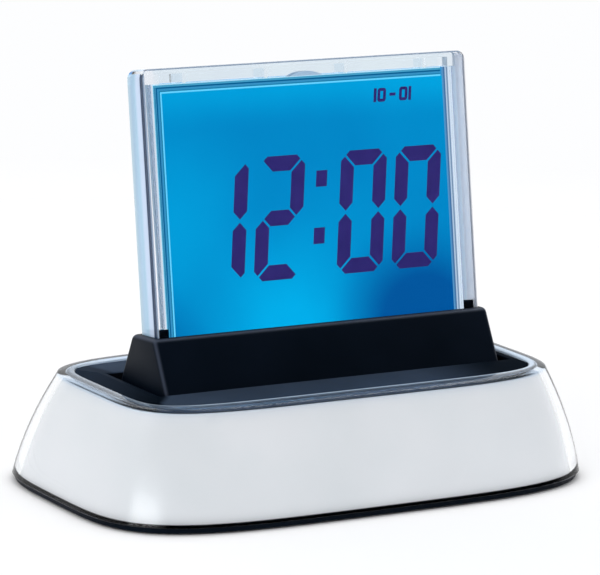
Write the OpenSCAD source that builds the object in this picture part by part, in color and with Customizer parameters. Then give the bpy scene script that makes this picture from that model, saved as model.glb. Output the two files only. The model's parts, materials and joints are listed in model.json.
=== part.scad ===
// Digital desk clock. A backlit liquid-crystal panel in a clear case leans back in a black
// cradle. The cradle dips into a white base that wears a clear cover, and pressing it works
// the snooze and light switch. X runs right, Y back and Z up, in millimetres.
// The origin lies on the table under the middle of the base.

/* [Base body] */
// Depth of the base at the shoulder, where the wall turns over
top_d = 56.3; // [53:0.1:61]
// How far the shoulder's middle lies ahead of the skirt's
top_ahead = 1.5; // [0:0.1:2.5]
// Shoulder beyond the cradle at each end
deck_end = 10.7; // [10:0.1:13]
// Skirt beyond the shoulder at each end
flare_end = 8.05; // [6:0.05:10]
// Skirt beyond the shoulder at the front and back
flare_side = 9.9; // [8:0.1:11]
// Height of the skirt's lower edge above the table
skirt_z = 1.5; // [1.4:0.05:1.8]
// Height of the shoulder above the table
shoulder_z = 24.5; // [23.5:0.1:28]
// Rise of the clear rim above the shoulder
rim_rise = 0.55; // [0.5:0.05:1.2]
// How far the wall swells beyond a straight line
belly = 0.8; // [0:0.1:1.5]
// Squareness of the outline at the skirt
corner_low = 4.0; // [3:0.1:6]
// Squareness of the outline at the shoulder
corner_high = 4.7; // [3.5:0.1:7]
// Wall of the clear cover
cover_wall = 1.8; // [1.2:0.1:2.4]
// Wall of the white liner
liner_wall = 1.6; // [1.2:0.1:2]
// Gap between the clear cover and the liner
skin_gap = 0.1; // [0.05:0.05:0.3]

/* [Deck] */
// Width of the clear rim at the two ends
rim_side = 3.9; // [3.4:0.1:4.6]
// Width of the clear rim along the front and back
rim_front = 4.65; // [4:0.05:5.4]
// Squareness of the deck's outline
deck_corner = 6; // [4:0.5:8]
// Thickness of the flange held under the clear rim
flange_t = 1.2; // [1:0.1:1.6]
// Rise of the deck from its edge to the slot
deck_crown = 1.2; // [0.4:0.1:1.6]
// Land round the slot
slot_land = 1.3; // [0.8:0.1:1.8]
// Gap between the slot and the cradle's ends
slot_gap_end = 2.0; // [1:0.1:2.4]
// Gap between the slot and the cradle's front
slot_gap_front = 0.8; // [0.4:0.1:1.2]
// Gap between the slot and the cradle's back
slot_gap_rear = 2.4; // [0.6:0.1:3]
// Diameter of the deck's screw posts
post_d = 5.2; // [4.6:0.1:6]

/* [Cradle] */
// Cradle beyond the panel at each end
cradle_end = 1.65; // [0.8:0.05:2.2]
// Height of the cradle's top front edge above the table
cradle_top = 36.3; // [34:0.1:40]
// Drop of the cradle's top from front to back
cradle_drop = 0.7; // [0:0.1:1.5]
// Lip in front of the panel
lip_front = 1.1; // [0.8:0.1:2]
// Lip behind the panel
lip_rear = 1.3; // [0.8:0.1:3]
// How far the front face flares out towards its foot
flare_front = 6.0; // [4:0.1:6.5]
// How far the back face flares out towards its foot
flare_rear = 5.1; // [2.5:0.1:6]
// Wall of the cradle
cradle_wall = 1.5; // [1.2:0.1:2]
// Rounding of the top edges at the two ends
end_round = 1.8; // [1:0.1:3]
// Travel of the cradle when it is pressed
press_travel = 1.0; // [0.6:0.1:1.4]

/* [Display panel] */
// Length of the clear case from its seat to its top
panel_len = 66.9; // [62:0.1:74]
// Floor under the panel's seat
seat_t = 3.5; // [3:0.1:4.5]
// Lean of the panel from upright
panel_tilt = 9.1; // [6:0.1:12]
// Depth at which the panel's plane would meet the table
panel_y = -13.4; // [-14.5:0.1:-12.5]
// Thickness of the front window
window_t = 1.0; // [0.8:0.1:1.4]
// Side wall of the rear shell
case_side = 2.2; // [1.6:0.1:3]
// Top wall of the rear shell
case_head = 1.25; // [1:0.05:2]
// Back wall of the rear shell
case_back = 1.2; // [0.8:0.1:2]
// Corner radius of the clear case
case_round = 2.0; // [1:0.1:3]
// Spacing of the locating ribs under the top wall
rib_pitch = 20; // [14:1:22]

/* [Liquid crystal] */
// Width of the glass plates
glass_w = 74; // [66:0.1:84]
// Gap between the glass and the case's side walls
glass_gap = 1.05; // [0.6:0.05:1.6]
// Thickness of one glass plate
glass_t = 0.9; // [0.7:0.05:1.1]
// Contact ledge left bare at the foot of the front glass
ledge = 3.0; // [2:0.1:4]
// Thickness of the light guide
guide_t = 2.5; // [2:0.1:3.5]
// Height of a digit
digit_h = 25.6; // [20:0.1:28]
// Width of a digit
digit_w = 11.6; // [9:0.1:12]
// Distance from digit to digit
digit_pitch = 13.95; // [12.5:0.05:14]
// Extra room for the colon
colon_room = 6.7; // [5:0.1:7.5]
// Width of a segment
stroke = 3.1; // [2:0.1:3.4]
// Gap between segments
segment_gap = 0.45; // [0.3:0.05:0.7]
// Lean of the digits, sideways per unit of height
slant = 0.112; // [0:0.01:0.16]
// Height of the digits' middle, measured up the panel from the table
digit_mid = 59.8; // [56:0.1:64]
// Right-hand edge of the last digit at its middle
digit_right = 32.4; // [30:0.1:33]
// Height of the small calendar digits
date_h = 3.0; // [2.4:0.1:4]
// Height of their middle, measured up the panel from the table
date_mid = 84.7; // [80:0.1:86]
// Right-hand edge of the last calendar digit at its middle
date_right = 26.8; // [20:0.1:32]

/* [Batteries] */
// Diameter of a battery cell
cell_d = 10.5; // [10:0.1:11]
// Length of a battery cell
cell_len = 44.5; // [42:0.1:46]
// Space between neighbouring cells
cell_space = 0.4; // [0.3:0.05:0.6]
// Wall of the battery bay
bay_wall = 1.2; // [1:0.1:1.5]
// Length of a contact spring under load
contact_len = 3.4; // [3:0.1:4.5]

/* [Controls] */
// Diameter of a set button
button_d = 5.2; // [4.4:0.1:5.8]
// Distance from button to button
button_pitch = 14; // [13:0.1:14.4]
// Travel of a set button
button_travel = 0.5; // [0.3:0.05:0.7]
// Travel of the alarm slide
alarm_travel = 2.5; // [2:0.1:3]

/* [Bottom and board] */
// How far the rubber feet stand below the bottom plate
foot_proud = 0.4; // [0.3:0.05:0.5]
// Diameter of a rubber foot
foot_d = 8; // [6:0.1:9]
// Thickness of the bottom plate
plate_t = 2.0; // [1.8:0.1:2.4]
// Thickness of the circuit board
board_t = 1.6; // [1.2:0.1:2]
// Diameter of the guide pins under the cradle
pin_d = 3.0; // [2.4:0.1:3.2]
// Wire of the return springs
spring_wire = 0.6; // [0.5:0.05:0.7]

/* [Fits] */
// Clearance round a piece that is dropped into its seat
fit = 0.15; // [0.1:0.05:0.2]
// Clearance round a piece that slides
slide_gap = 0.25; // [0.2:0.05:0.3]
// Clearance between the guide pins and their bores
pin_gap = 0.08; // [0.05:0.01:0.1]

/* [Hidden] */
$fn = 48;
button_names = ["mode", "set", "up", "down"];
cell_names = ["front_cell", "middle_cell", "rear_cell"];
// Points round a moulded outline, and an overshoot that keeps cuts clean
ring_points = 64;
eps = 0.5;

// Widths, from the glass outwards
panel_w = glass_w + 2 * (glass_gap + case_side);
cradle_w = panel_w + 2 * cradle_end;
top_w = cradle_w + 2 * deck_end;
base_w = top_w + 2 * flare_end;
base_d = top_d + 2 * flare_side;

// Levels of the base, from the top down
flange_drop = 0.4;
seat_gap = 0.1;
rim_top = shoulder_z + rim_rise;
flange_top = shoulder_z - flange_drop;
lip_under = flange_top + seat_gap / 2;
deck_under = flange_top - flange_t;
flange_edge = 0.45;
liner_top = flange_top - flange_edge - seat_gap;
deck_edge = shoulder_z;
deck_top = deck_edge + deck_crown;
floor_top = foot_proud + plate_t;
open_a = top_w / 2 - rim_side;
open_b = top_d / 2 - rim_front;

// Outline of the base at a height: half width, half depth and squareness
function rise(z) = (z - skirt_z) / (shoulder_z - skirt_z);
function swell(z) = 4 * belly * rise(z) * (1 - rise(z));
function skin_a(z) = (base_w + (top_w - base_w) * rise(z)) / 2 + swell(z);
function skin_b(z) = (base_d + (top_d - base_d) * rise(z)) / 2 + swell(z);
function corner(z) = corner_low + (corner_high - corner_low) * rise(z);
function middle(z) = -top_ahead * rise(z);
skin_depth = cover_wall + skin_gap + liner_wall;
function inner_a(z) = skin_a(z) - skin_depth;
function inner_b(z) = skin_b(z) - skin_depth;

// Panel frame: the panel's plane crosses height z at this depth, offset back by w
function panel_at(z, w) = panel_y + z * tan(panel_tilt) + w / cos(panel_tilt);

// Stack inside the display, measured back from the panel's plane
case_inner = panel_w / 2 - case_side;
glass_w0 = seat_gap;
cell_gap = 0.1;
rear_glass_w0 = glass_w0 + glass_t + cell_gap;
guide_w0 = rear_glass_w0 + glass_t + seat_gap;
film_t = 0.2;
film_w0 = guide_w0 + guide_t + seat_gap;
case_depth = film_w0 + film_t + 2 * seat_gap + case_back;

// Cradle section
knee_drop = 0.6;
cradle_knee = deck_top - knee_drop;
top_front = panel_at(cradle_top, -window_t) - lip_front;
top_rear = panel_at(cradle_top - cradle_drop, case_depth) + lip_rear;
foot_front = top_front - flare_front;
foot_rear = top_rear + flare_rear;
cradle_inner = panel_w / 2 + seat_gap;
ear_t = 1.2;
ear_step = 0.2;
ear_reach = 2.0;
floor_z = deck_under - seat_gap - ear_t;
cradle_z = floor_z + ear_t + ear_step;

// Heights inside the display, measured up the panel from the table
head_gap = 2.15;
head_block = 2.0;
panel_seat = cradle_z + seat_t;
panel_top = panel_seat + panel_len;
glass_top = panel_top - case_head - head_gap;
led_board_t = 1.0;
led_h = 1.7;
guide_foot = panel_seat + led_board_t + led_h + 2 * seat_gap;
ribbon_t = 0.15;
ribbon_w0 = glass_w0 + glass_t + 0.02;
ribbon_width = 18;
ribbon_inset = 10;
ribbon_x = glass_w / 2 - ribbon_inset - ribbon_width;

// Battery bay, set against the back wall
cell_count = len(cell_names);
cell_pitch = cell_d + cell_space;
contact_t = 0.4;
cell_play = 0.25;
cell_lift = 0.6;
bay_half = (cell_len + contact_len + seat_gap) / 2 + contact_t;
door_top = skirt_z - seat_gap;
door_bottom = foot_proud + seat_gap;
cell_z = door_top + cell_lift + cell_d / 2;
bay_ceiling = cell_z + cell_d / 2 + cell_play;
bay_top = bay_ceiling + bay_wall;
bay_room = 1.0;
bay_rear = middle(bay_top) + inner_b(bay_top) - bay_room - bay_wall;
bay_front = bay_rear - (cell_count - 1) * cell_pitch - cell_d - 2 * cell_play;
function cell_y(i) = bay_front + cell_play + cell_d / 2 + i * cell_pitch;
door_margin = 2.0;
door_lap = 0.8;
door_half = bay_half + bay_wall + door_margin;
door_front = bay_front - bay_wall - door_lap;
tongue = 1.5;

// Circuit board and the controls under it
post_inset_x = 7.7;
post_inset_y = 5.5;
post_x = open_a - post_inset_x;
post_mid = -top_ahead / 2;
post_y = open_b - post_inset_y - post_mid;
button_recess = 0.4;
button_cap_z = foot_proud + button_recess;
button_flange_t = 0.9;
button_rim = 1.4;
button_flange_z = floor_top + seat_gap;
button_stem = 0.9;
plunger_z = button_flange_z + button_flange_t + button_stem;
plunger_d = 3.2;
plunger_out = 0.9;
switch_h = 3.3;
switch_w = 6;
board_z = plunger_z + plunger_out + switch_h;
board_top = board_z + board_t;
board_room = 2.4;
board_gap = 1.3;
board_half = post_x - post_d / 2 - board_room;
board_rear = bay_front - bay_wall - board_gap;
board_front = middle(board_top) - inner_b(board_top) + board_room;
control_shift = 2.8;
control_y = (board_front + board_rear) / 2 - control_shift;
snooze_inset = 4.8;
snooze_y = board_rear - snooze_inset;
standoff_d = 4.8;
standoff_inset = 3;
standoff_x = board_half - standoff_inset;
standoff_ys = [board_front + standoff_inset, board_rear - 1.4 * standoff_inset];
alarm_x = 2 * button_pitch;
alarm_rest = alarm_x - alarm_travel / 2;

// Guide pins and return springs under the cradle
guide_out = 8.4;
guide_back = 3.0;
guide_x = bay_half + bay_wall + guide_out;
guide_y = (foot_front + foot_rear) / 2 + guide_back;
tower_d = 7;
spring_len = 7.6;
spring_room = 0.7;
tower_top = floor_z - spring_len;
spring_r = pin_d / 2 + spring_room + spring_wire / 2;
pin_top = cradle_z + 0.8;

// Fasteners
base_screw_d = 2.5;
base_screw_head = 5.2;
base_screw_head_h = 1.0;
base_screw_len = 11;
base_screw_sink = 1.1;
small_screw_d = 2.0;
small_screw_head = 3.8;
small_screw_head_h = 1.3;
small_screw_len = 6;
bore_gap = 0.1;
shank_gap = 0.3;
cradle_screw_x = 18;
cradle_screw_inset = 4.5;
cradle_screw_y = foot_rear - cradle_screw_inset;
cradle_screw_sink = 0.8;

// Pieces on the board
chip_d = 11;
chip_h = 1.6;
chip_x = 5;
chip_back = 1;
crystal_d = 3;
crystal_len = 8;
crystal_x = 14;
crystal_back = 4;
buzzer_d = 12;
buzzer_h = 7;
buzzer_x = -24;
buzzer_mouth = 2;
socket_h = 4;
socket_half = 1.5;
socket_floor = 1.5;

// Colours
clear_tint = [0.84, 0.92, 0.96, 0.45];
white_gloss = [0.92, 0.93, 0.94];
black_gloss = [0.05, 0.06, 0.08];
black_satin = [0.08, 0.09, 0.11];
steel = [0.72, 0.73, 0.75];

// Shared shapes

function sign_pow(c, p) = sign(c) * pow(abs(c), p);

// A rounded-square outline as a list of plane points
function outline(a, b, n, y = 0) = [
    for (i = [0 : ring_points - 1])
        let (t = 360 * i / ring_points)
        [a * sign_pow(cos(t), 2 / n), y + b * sign_pow(sin(t), 2 / n)]
];

// The same outline lifted to a height
function ring(a, b, n, z, y = 0) = [for (p = outline(a, b, n, y)) [p[0], p[1], z]];

// Triangles between neighbouring rings of a loft
function loft_sides(m, n, closed) = [
    for (j = [0 : closed ? m - 1 : m - 2], i = [0 : n - 1])
        let (k = (i + 1) % n, u = (j + 1) % m)
        each [[j * n + i, u * n + i, u * n + k], [j * n + i, u * n + k, j * n + k]]
];

// A hollow ring of rings, such as a moulded wall that is open above and below
module loft_wall(rings) {
    n = len(rings[0]);
    polyhedron([for (r = rings) each r], loft_sides(len(rings), n, true), convexity = 6);
}

// A solid loft with flat ends
module loft_solid(rings) {
    n = len(rings[0]);
    m = len(rings);
    ends = [[for (i = [0 : n - 1]) i], [for (i = [n - 1 : -1 : 0]) (m - 1) * n + i]];
    polyhedron([for (r = rings) each r], concat(loft_sides(m, n, false), ends), convexity = 6);
}

function unit(v) = v / norm(v);
function path_dir(p, i) = unit(p[min(i + 1, len(p) - 1)] - p[max(i - 1, 0)]);

// A round wire along a path; side is a direction that the path never follows
function wire_ring(p, i, r, sides, side) =
    let (t = path_dir(p, i), n = unit(cross(t, side)), b = cross(t, n))
    [for (k = [0 : sides - 1]) p[i] + r * (cos(360 * k / sides) * n + sin(360 * k / sides) * b)];

module wire(path, r, sides, side) {
    loft_solid([for (i = [0 : len(path) - 1]) wire_ring(path, i, r, sides, side)]);
}

// A coil from radius r0 to r1, eight steps to a turn
function coil(r0, r1, h, turns) = [
    for (i = [0 : 8 * turns])
        let (f = i / (8 * turns), a = 360 * turns * f, r = r0 + (r1 - r0) * f)
        [r * cos(a), r * sin(a), h * f]
];

// A smooth path through hand-picked points
function spline_at(a, b, c, d, f) =
    ((2 * b) + (c - a) * f + (2 * a - 5 * b + 4 * c - d) * f * f
    + (3 * b - a - 3 * c + d) * f * f * f) / 2;
function smooth_path(p, steps) = concat(
    [
        for (i = [0 : len(p) - 2], s = [0 : steps - 1])
            spline_at(p[max(i - 1, 0)], p[i], p[i + 1], p[min(i + 2, len(p) - 1)], s / steps)
    ],
    [p[len(p) - 1]]
);

// Puts children in the panel's frame: x across, y up the panel, z to the front
module on_panel() {
    translate([0, panel_y, 0])
        rotate([90 - panel_tilt, 0, 0])
            children();
}

// A slab of the display from x0 to x1 across, v0 to v1 up and w0 to w1 back
module slab(x0, x1, v0, v1, w0, w1) {
    on_panel()
        translate([x0, v0, -w1])
            cube([x1 - x0, v1 - v0, w1 - w0]);
}

// A plate outline with rounded upper corners
module round_top(half, low, high, r) {
    translate([-half, low])
        square([2 * half, high - r - low]);
    translate([-half + r, low])
        square([2 * (half - r), high - low]);
    for (s = [-1, 1])
        translate([s * (half - r), high - r])
            circle(r);
}

// A section drawn in depth and height, drawn out sideways to both sides of the middle
module sideways(half) {
    translate([-half, 0, 0])
        rotate([90, 0, 90])
            linear_extrude(2 * half)
                children();
}

module box(x0, x1, y0, y1, z0, z1) {
    translate([x0, y0, z0])
        cube([x1 - x0, y1 - y0, z1 - z0]);
}

module rod(x, y, z0, z1, d) {
    translate([x, y, z0])
        cylinder(d = d, h = z1 - z0);
}

// A pan-head screw with a crossed recess; dir is the way its head faces, up or down
module screw(x, y, z, d, head_d, head_h, length, dir) {
    slot = head_d * 0.18;
    translate([x, y, z])
        mirror([0, 0, dir > 0 ? 0 : 1])
            difference() {
                union() {
                    cylinder(d = head_d, h = head_h);
                    translate([0, 0, -length])
                        cylinder(d = d, h = length);
                }
                for (a = [0, 90])
                    rotate(a)
                        translate([-head_d * 0.32, -slot / 2, head_h * 0.5])
                            cube([head_d * 0.64, slot, head_h]);
            }
}

// The four corner places of a rectangle whose middle lies at a depth
module at_corners(x, y, mid = 0) {
    for (sx = [-1, 1], sy = [-1, 1])
        translate([sx * x, mid + sy * y, 0])
            children();
}

// Base body

wall_levels = [for (f = [0, 0.25, 0.5, 0.75]) skirt_z + f * (shoulder_z - skirt_z)];

function skin(z, depth) = ring(skin_a(z) - depth, skin_b(z) - depth, corner(z), z, middle(z));
function lip(z, back) = ring(open_a + back, open_b + back, deck_corner, z, -top_ahead);
function reversed(list) = [for (i = [len(list) - 1 : -1 : 0]) list[i]];

module clear_cover() {
    rim_mid = shoulder_z + 0.55 * rim_rise;
    rim_high = shoulder_z + 0.93 * rim_rise;
    a = top_w / 2;
    b = top_d / 2;
    color(clear_tint)
        loft_wall(concat(
            [for (z = wall_levels) skin(z, 0)],
            [
                skin(shoulder_z, 0),
                ring(a - 0.35, b - 0.35, corner_high, rim_mid, -top_ahead),
                ring(a - 1.0, b - 1.0, corner_high, rim_high, -top_ahead),
                ring(a - 1.9, b - 1.9, corner_high, rim_top, -top_ahead),
                lip(rim_top - 0.15, 0.35),
                lip(rim_top - 0.45, 0),
                lip(lip_under, 0),
                skin(lip_under, cover_wall)
            ],
            [for (z = reversed(wall_levels)) skin(z, cover_wall)]
        ));
}

module white_liner() {
    out = cover_wall + skin_gap;
    ledge = out + liner_wall / 2;
    color(white_gloss)
        loft_wall(concat(
            [for (z = wall_levels) skin(z, out)],
            [
                skin(liner_top, out),
                skin(liner_top, ledge),
                skin(deck_under, ledge),
                skin(deck_under, skin_depth)
            ],
            [for (z = reversed(wall_levels)) skin(z, skin_depth)]
        ));
}

// Half sizes of the flange that rests on the liner's ledge, and of its thin edge inside the cover
flange_inset = skin_depth - liner_wall / 2 + fit;
flange_a = skin_a(flange_top) - flange_inset;
flange_b = skin_b(flange_top) - flange_inset;
edge_inset = cover_wall + fit;
edge_a = skin_a(flange_top) - edge_inset;
edge_b = skin_b(flange_top) - edge_inset;
slot_half = cradle_w / 2 + slot_gap_end;
slot_front = foot_front - slot_gap_front;
slot_rear = foot_rear + slot_gap_rear;

module deck() {
    slot_mid = (slot_front + slot_rear) / 2;
    slot_reach = (slot_rear - slot_front) / 2;
    bore_top = foot_proud + base_screw_sink + base_screw_len + 1;
    color(black_gloss)
        difference() {
            union() {
                translate([0, 0, deck_under])
                    linear_extrude(flange_t - flange_edge)
                        polygon(outline(flange_a, flange_b, corner_high, middle(flange_top)));
                translate([0, 0, flange_top - flange_edge])
                    linear_extrude(flange_edge)
                        polygon(outline(edge_a, edge_b, corner_high, middle(flange_top)));
                translate([0, 0, flange_top])
                    linear_extrude(deck_edge - flange_top)
                        polygon(outline(open_a - fit, open_b - fit, deck_corner, -top_ahead));
                loft_solid([
                    ring(open_a - fit, open_b - fit, deck_corner, deck_edge, -top_ahead),
                    ring(slot_half + slot_land, slot_reach + slot_land, 12, deck_top, slot_mid)
                ]);
                at_corners(post_x, post_y, post_mid)
                    translate([0, 0, floor_top])
                        cylinder(d = post_d, h = deck_under - floor_top + flange_t / 2);
            }
            box(-slot_half, slot_half, slot_front, slot_rear, deck_under - eps, deck_top + eps);
            at_corners(post_x, post_y, post_mid)
                translate([0, 0, floor_top - eps])
                    cylinder(d = base_screw_d + bore_gap, h = bore_top - floor_top + eps);
        }
}

plate_inset = 0.6;
foot_inset_x = 13;
foot_inset_y = 13.5;
foot_x = base_w / 2 - foot_inset_x;
foot_y = base_d / 2 - foot_inset_y;
foot_sunk = 0.5;
root = 0.4;

module plate_outline() {
    polygon(outline(base_w / 2 - plate_inset, base_d / 2 - plate_inset, corner_low));
}

module battery_bay_walls() {
    box(-bay_half - bay_wall, bay_half + bay_wall, bay_front - bay_wall, bay_rear + bay_wall,
        floor_top - root, bay_top);
}

module battery_bay_hollow() {
    box(-bay_half, bay_half, bay_front, bay_rear, foot_proud, bay_ceiling);
    // Slots in the ceiling for the solder tabs
    for (end = [[-1, 0], [1, cell_count - 1]])
        translate([end[0] * (bay_half - contact_t / 2), cell_y(end[1]), bay_ceiling])
            cube([contact_t + 0.2, 3.4, 4], center = true);
}

module door_recess() {
    far = base_d / 2 + eps;
    groove = tongue + fit;
    box(-door_half - fit, door_half + fit, door_front - fit, far, foot_proud - eps, skirt_z);
    box(-door_half - groove, door_half + groove, door_front - fit, far,
        (door_bottom + door_top) / 2 - 0.1, skirt_z);
}

module bottom_plate() {
    color(black_satin)
        difference() {
            union() {
                translate([0, 0, foot_proud])
                    linear_extrude(skirt_z - foot_proud)
                        plate_outline();
                translate([0, 0, skirt_z])
                    linear_extrude(floor_top - skirt_z)
                        polygon(outline(inner_a(floor_top) - fit, inner_b(floor_top) - fit,
                            corner_low, middle(floor_top)));
                battery_bay_walls();
                for (sx = [-1, 1]) {
                    for (y = standoff_ys)
                        rod(sx * standoff_x, y, floor_top - root, board_z, standoff_d);
                    rod(sx * guide_x, guide_y, floor_top - root, tower_top, tower_d);
                    rod(sx * guide_x, guide_y, tower_top - root, pin_top, pin_d);
                }
            }
            battery_bay_hollow();
            door_recess();
            at_corners(foot_x, foot_y)
                translate([0, 0, foot_proud - eps])
                    cylinder(d = foot_d + 2 * fit, h = foot_sunk + eps);
            at_corners(post_x, post_y, post_mid) {
                translate([0, 0, foot_proud - eps])
                    cylinder(d = base_screw_head + 2 * shank_gap, h = base_screw_sink + eps);
                cylinder(d = base_screw_d + shank_gap, h = floor_top + eps);
            }
            for (sx = [-1, 1], y = standoff_ys)
                rod(sx * standoff_x, y, floor_top, board_z + eps, small_screw_d + bore_gap);
            for (i = [0 : len(button_names) - 1])
                rod(button_x(i), control_y, 0, floor_top + eps, button_d + 2 * slide_gap);
            box(alarm_rest - knob_w / 2 - slide_gap,
                alarm_rest + alarm_travel + knob_w / 2 + slide_gap,
                control_y - knob_d / 2 - slide_gap, control_y + knob_d / 2 + slide_gap,
                0, floor_top + eps);
        }
}

module rubber_feet() {
    color([0.16, 0.16, 0.17])
        at_corners(foot_x, foot_y)
            cylinder(d = foot_d, h = foot_proud + foot_sunk);
}

module base_screws() {
    color(steel)
        at_corners(post_x, post_y, post_mid)
            screw(0, 0, foot_proud + base_screw_sink, base_screw_d, base_screw_head,
                base_screw_head_h, base_screw_len, -1);
}

// Cradle and what it carries

module cradle_section(inset, low, high, high_rear) {
    span = cradle_top - cradle_knee;
    front = foot_front + flare_front * (high - cradle_knee) / span;
    rear = foot_rear - flare_rear * (high_rear - cradle_knee) / span;
    polygon([
        [foot_front + inset, low],
        [foot_front + inset, cradle_knee],
        [front + inset, high],
        [rear - inset, high_rear],
        [foot_rear - inset, cradle_knee],
        [foot_rear - inset, low]
    ]);
}

module cradle() {
    roof = cradle_top - cradle_drop - cradle_wall;
    color(black_satin)
        difference() {
            intersection() {
                sideways(cradle_w / 2 + eps)
                    cradle_section(0, cradle_z, cradle_top, cradle_top - cradle_drop);
                translate([0, foot_rear + eps, 0])
                    rotate([90, 0, 0])
                        linear_extrude(foot_rear - foot_front + 2 * eps)
                            round_top(cradle_w / 2, cradle_z - eps, cradle_top + 0.05, end_round);
            }
            sideways(cradle_inner + seat_gap)
                cradle_section(cradle_wall, cradle_z - eps, roof, roof);
            slab(-cradle_inner, cradle_inner, panel_seat, panel_seat + 20,
                -window_t - seat_gap, case_depth + seat_gap);
        }
}

module cradle_floor() {
    ear_half = slot_half + ear_reach;
    slot_y = panel_at(cradle_z, ribbon_w0);
    color(black_satin)
        difference() {
            union() {
                box(-cradle_w / 2 + 0.2, cradle_w / 2 - 0.2, foot_front + 0.2, foot_rear - 0.2,
                    floor_z, cradle_z);
                box(-ear_half, ear_half, guide_y - 6, guide_y + 4, floor_z, floor_z + ear_t);
                rod(0, snooze_y, snooze_top, floor_z + ear_t, 4.4);
            }
            for (sx = [-1, 1]) {
                rod(sx * guide_x, guide_y, floor_z - eps, cradle_z + eps, pin_d + 2 * pin_gap);
                rod(sx * cradle_screw_x, cradle_screw_y, floor_z - eps, cradle_z + eps,
                    small_screw_d + shank_gap);
                rod(sx * cradle_screw_x, cradle_screw_y, floor_z - eps,
                    floor_z + cradle_screw_sink, small_screw_head + shank_gap);
            }
            box(ribbon_x - 0.4, ribbon_x + ribbon_width + 0.4, slot_y - 0.9, slot_y + 0.7,
                floor_z - eps, cradle_z + eps);
        }
}

module cradle_screws() {
    color(steel)
        for (sx = [-1, 1])
            screw(sx * cradle_screw_x, cradle_screw_y, floor_z + cradle_screw_sink,
                small_screw_d, small_screw_head, cradle_screw_sink, small_screw_len, -1);
}

module display_foot() {
    top = cradle_top - 5.3;
    gap = seat_gap;
    block = cradle_rise() + block_rise;
    color(black_satin) {
        difference() {
            sideways(cradle_inner - fit)
                cradle_section(cradle_wall + fit, cradle_z, top, top);
            slab(-cradle_inner - eps, cradle_inner + eps, panel_seat, panel_seat + 20,
                -window_t - gap, case_depth + gap);
            slab(ribbon_x - 0.3, ribbon_x + ribbon_width + 0.3, panel_seat - 10, panel_seat + eps,
                ribbon_w0 - 0.2, ribbon_w0 + ribbon_t + 0.2);
            for (sx = [-1, 1]) {
                rod(sx * cradle_screw_x, cradle_screw_y, cradle_z - eps,
                    floor_z + cradle_screw_sink + small_screw_len + eps, small_screw_d + bore_gap);
                rod(sx * guide_x, guide_y, cradle_z - eps, pin_top + press_travel + 0.2, pin_d + 1);
            }
        }
        // Corner blocks that stand inside the clear case, beside the glass
        for (sx = [-1, 1])
            mirror([sx < 0 ? 1 : 0, 0, 0])
                slab(glass_w / 2 + gap, notch_half - gap, panel_seat - 0.3, block,
                    glass_w0, case_depth - case_back - gap);
    }
}

// Corner blocks above the lip, the skin of the case beside them, and how far up the panel the
// cradle's front lip reaches
block_rise = 1.6;
notch_skin = 0.6;
notch_half = panel_w / 2 - notch_skin;
function cradle_rise() = (cradle_top - window_t * sin(panel_tilt)) / cos(panel_tilt);

module front_window() {
    color(clear_tint)
        on_panel()
            linear_extrude(window_t)
                round_top(panel_w / 2, panel_seat, panel_top, case_round);
}

module rear_shell() {
    rib_t = 0.8;
    color(clear_tint) {
        difference() {
            on_panel()
                translate([0, 0, -case_depth])
                    linear_extrude(case_depth)
                        round_top(panel_w / 2, panel_seat, panel_top, case_round);
            slab(-case_inner, case_inner, panel_seat - eps, glass_top + seat_gap,
                -eps, case_depth - case_back);
            slab(head_block - case_inner, case_inner - head_block, glass_top,
                panel_top - case_head, -eps, case_depth - case_back);
            slab(-notch_half, notch_half, panel_seat - eps, cradle_rise() + block_rise + seat_gap,
                -eps, case_depth - case_back);
        }
        for (k = [-1.5, -0.5, 0.5, 1.5])
            slab(k * rib_pitch - rib_t / 2, k * rib_pitch + rib_t / 2, glass_top + seat_gap,
                panel_top - case_head + 0.3, glass_w0, case_depth - case_back);
    }
}

module lcd_front_glass() {
    color([0.55, 0.8, 0.95, 0.5])
        slab(-glass_w / 2, glass_w / 2, guide_foot + 0.1, glass_top, glass_w0, glass_w0 + glass_t);
}

module lcd_rear_glass() {
    color([0.1, 0.55, 0.85])
        slab(-glass_w / 2, glass_w / 2, guide_foot + 0.1 + ledge, glass_top,
            rear_glass_w0, rear_glass_w0 + glass_t);
}

// One segment, a bar with pointed ends, centred on the origin
module segment(length, across, w, gap) {
    tip = (w - gap) / 2;
    half = length / 2 - gap / 2;
    arm = half - tip;
    polygon(across
        ? [[-half, 0], [-arm, tip], [arm, tip], [half, 0], [arm, -tip], [-arm, -tip]]
        : [[0, -half], [tip, -arm], [tip, arm], [0, half], [-tip, arm], [-tip, -arm]]);
}

// The seven places of a digit as shares of its reach: middle point and direction
segment_places = [
    [0, 2, true],
    [1, 1, false],
    [1, -1, false],
    [0, -2, true],
    [-1, -1, false],
    [-1, 1, false],
    [0, 0, true]
];
lit_one = [1, 2];
lit_two = [0, 1, 3, 4, 6];
lit_zero = [0, 1, 2, 3, 4, 5];

// The lit segments of one digit of height h and width w, with bars of width bar
module digit(lit, h, w, bar, gap) {
    reach_x = (w - bar) / 2;
    reach_y = (h - bar) / 4;
    for (s = lit)
        translate([segment_places[s][0] * reach_x, segment_places[s][1] * reach_y])
            segment(2 * (segment_places[s][2] ? reach_x : reach_y), segment_places[s][2],
                bar, gap);
}

// The time in large digits with a colon, drawn about the digits' middle height
module time_digits() {
    last = digit_right - digit_w / 2;
    places = [
        [last - 3 * digit_pitch - colon_room, lit_one],
        [last - 2 * digit_pitch - colon_room, lit_two],
        [last - digit_pitch, lit_zero],
        [last, lit_zero]
    ];
    dot_w = 2.7;
    dot_h = 3.5;
    dot_rise = 6.15;
    colon_x = last - 1.5 * digit_pitch - colon_room / 2 - 1.35;
    for (p = places)
        translate([p[0], 0])
            digit(p[1], digit_h, digit_w, stroke, segment_gap);
    for (s = [-1, 1])
        translate([colon_x - dot_w / 2, s * dot_rise - dot_h / 2])
            square([dot_w, dot_h]);
}

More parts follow.
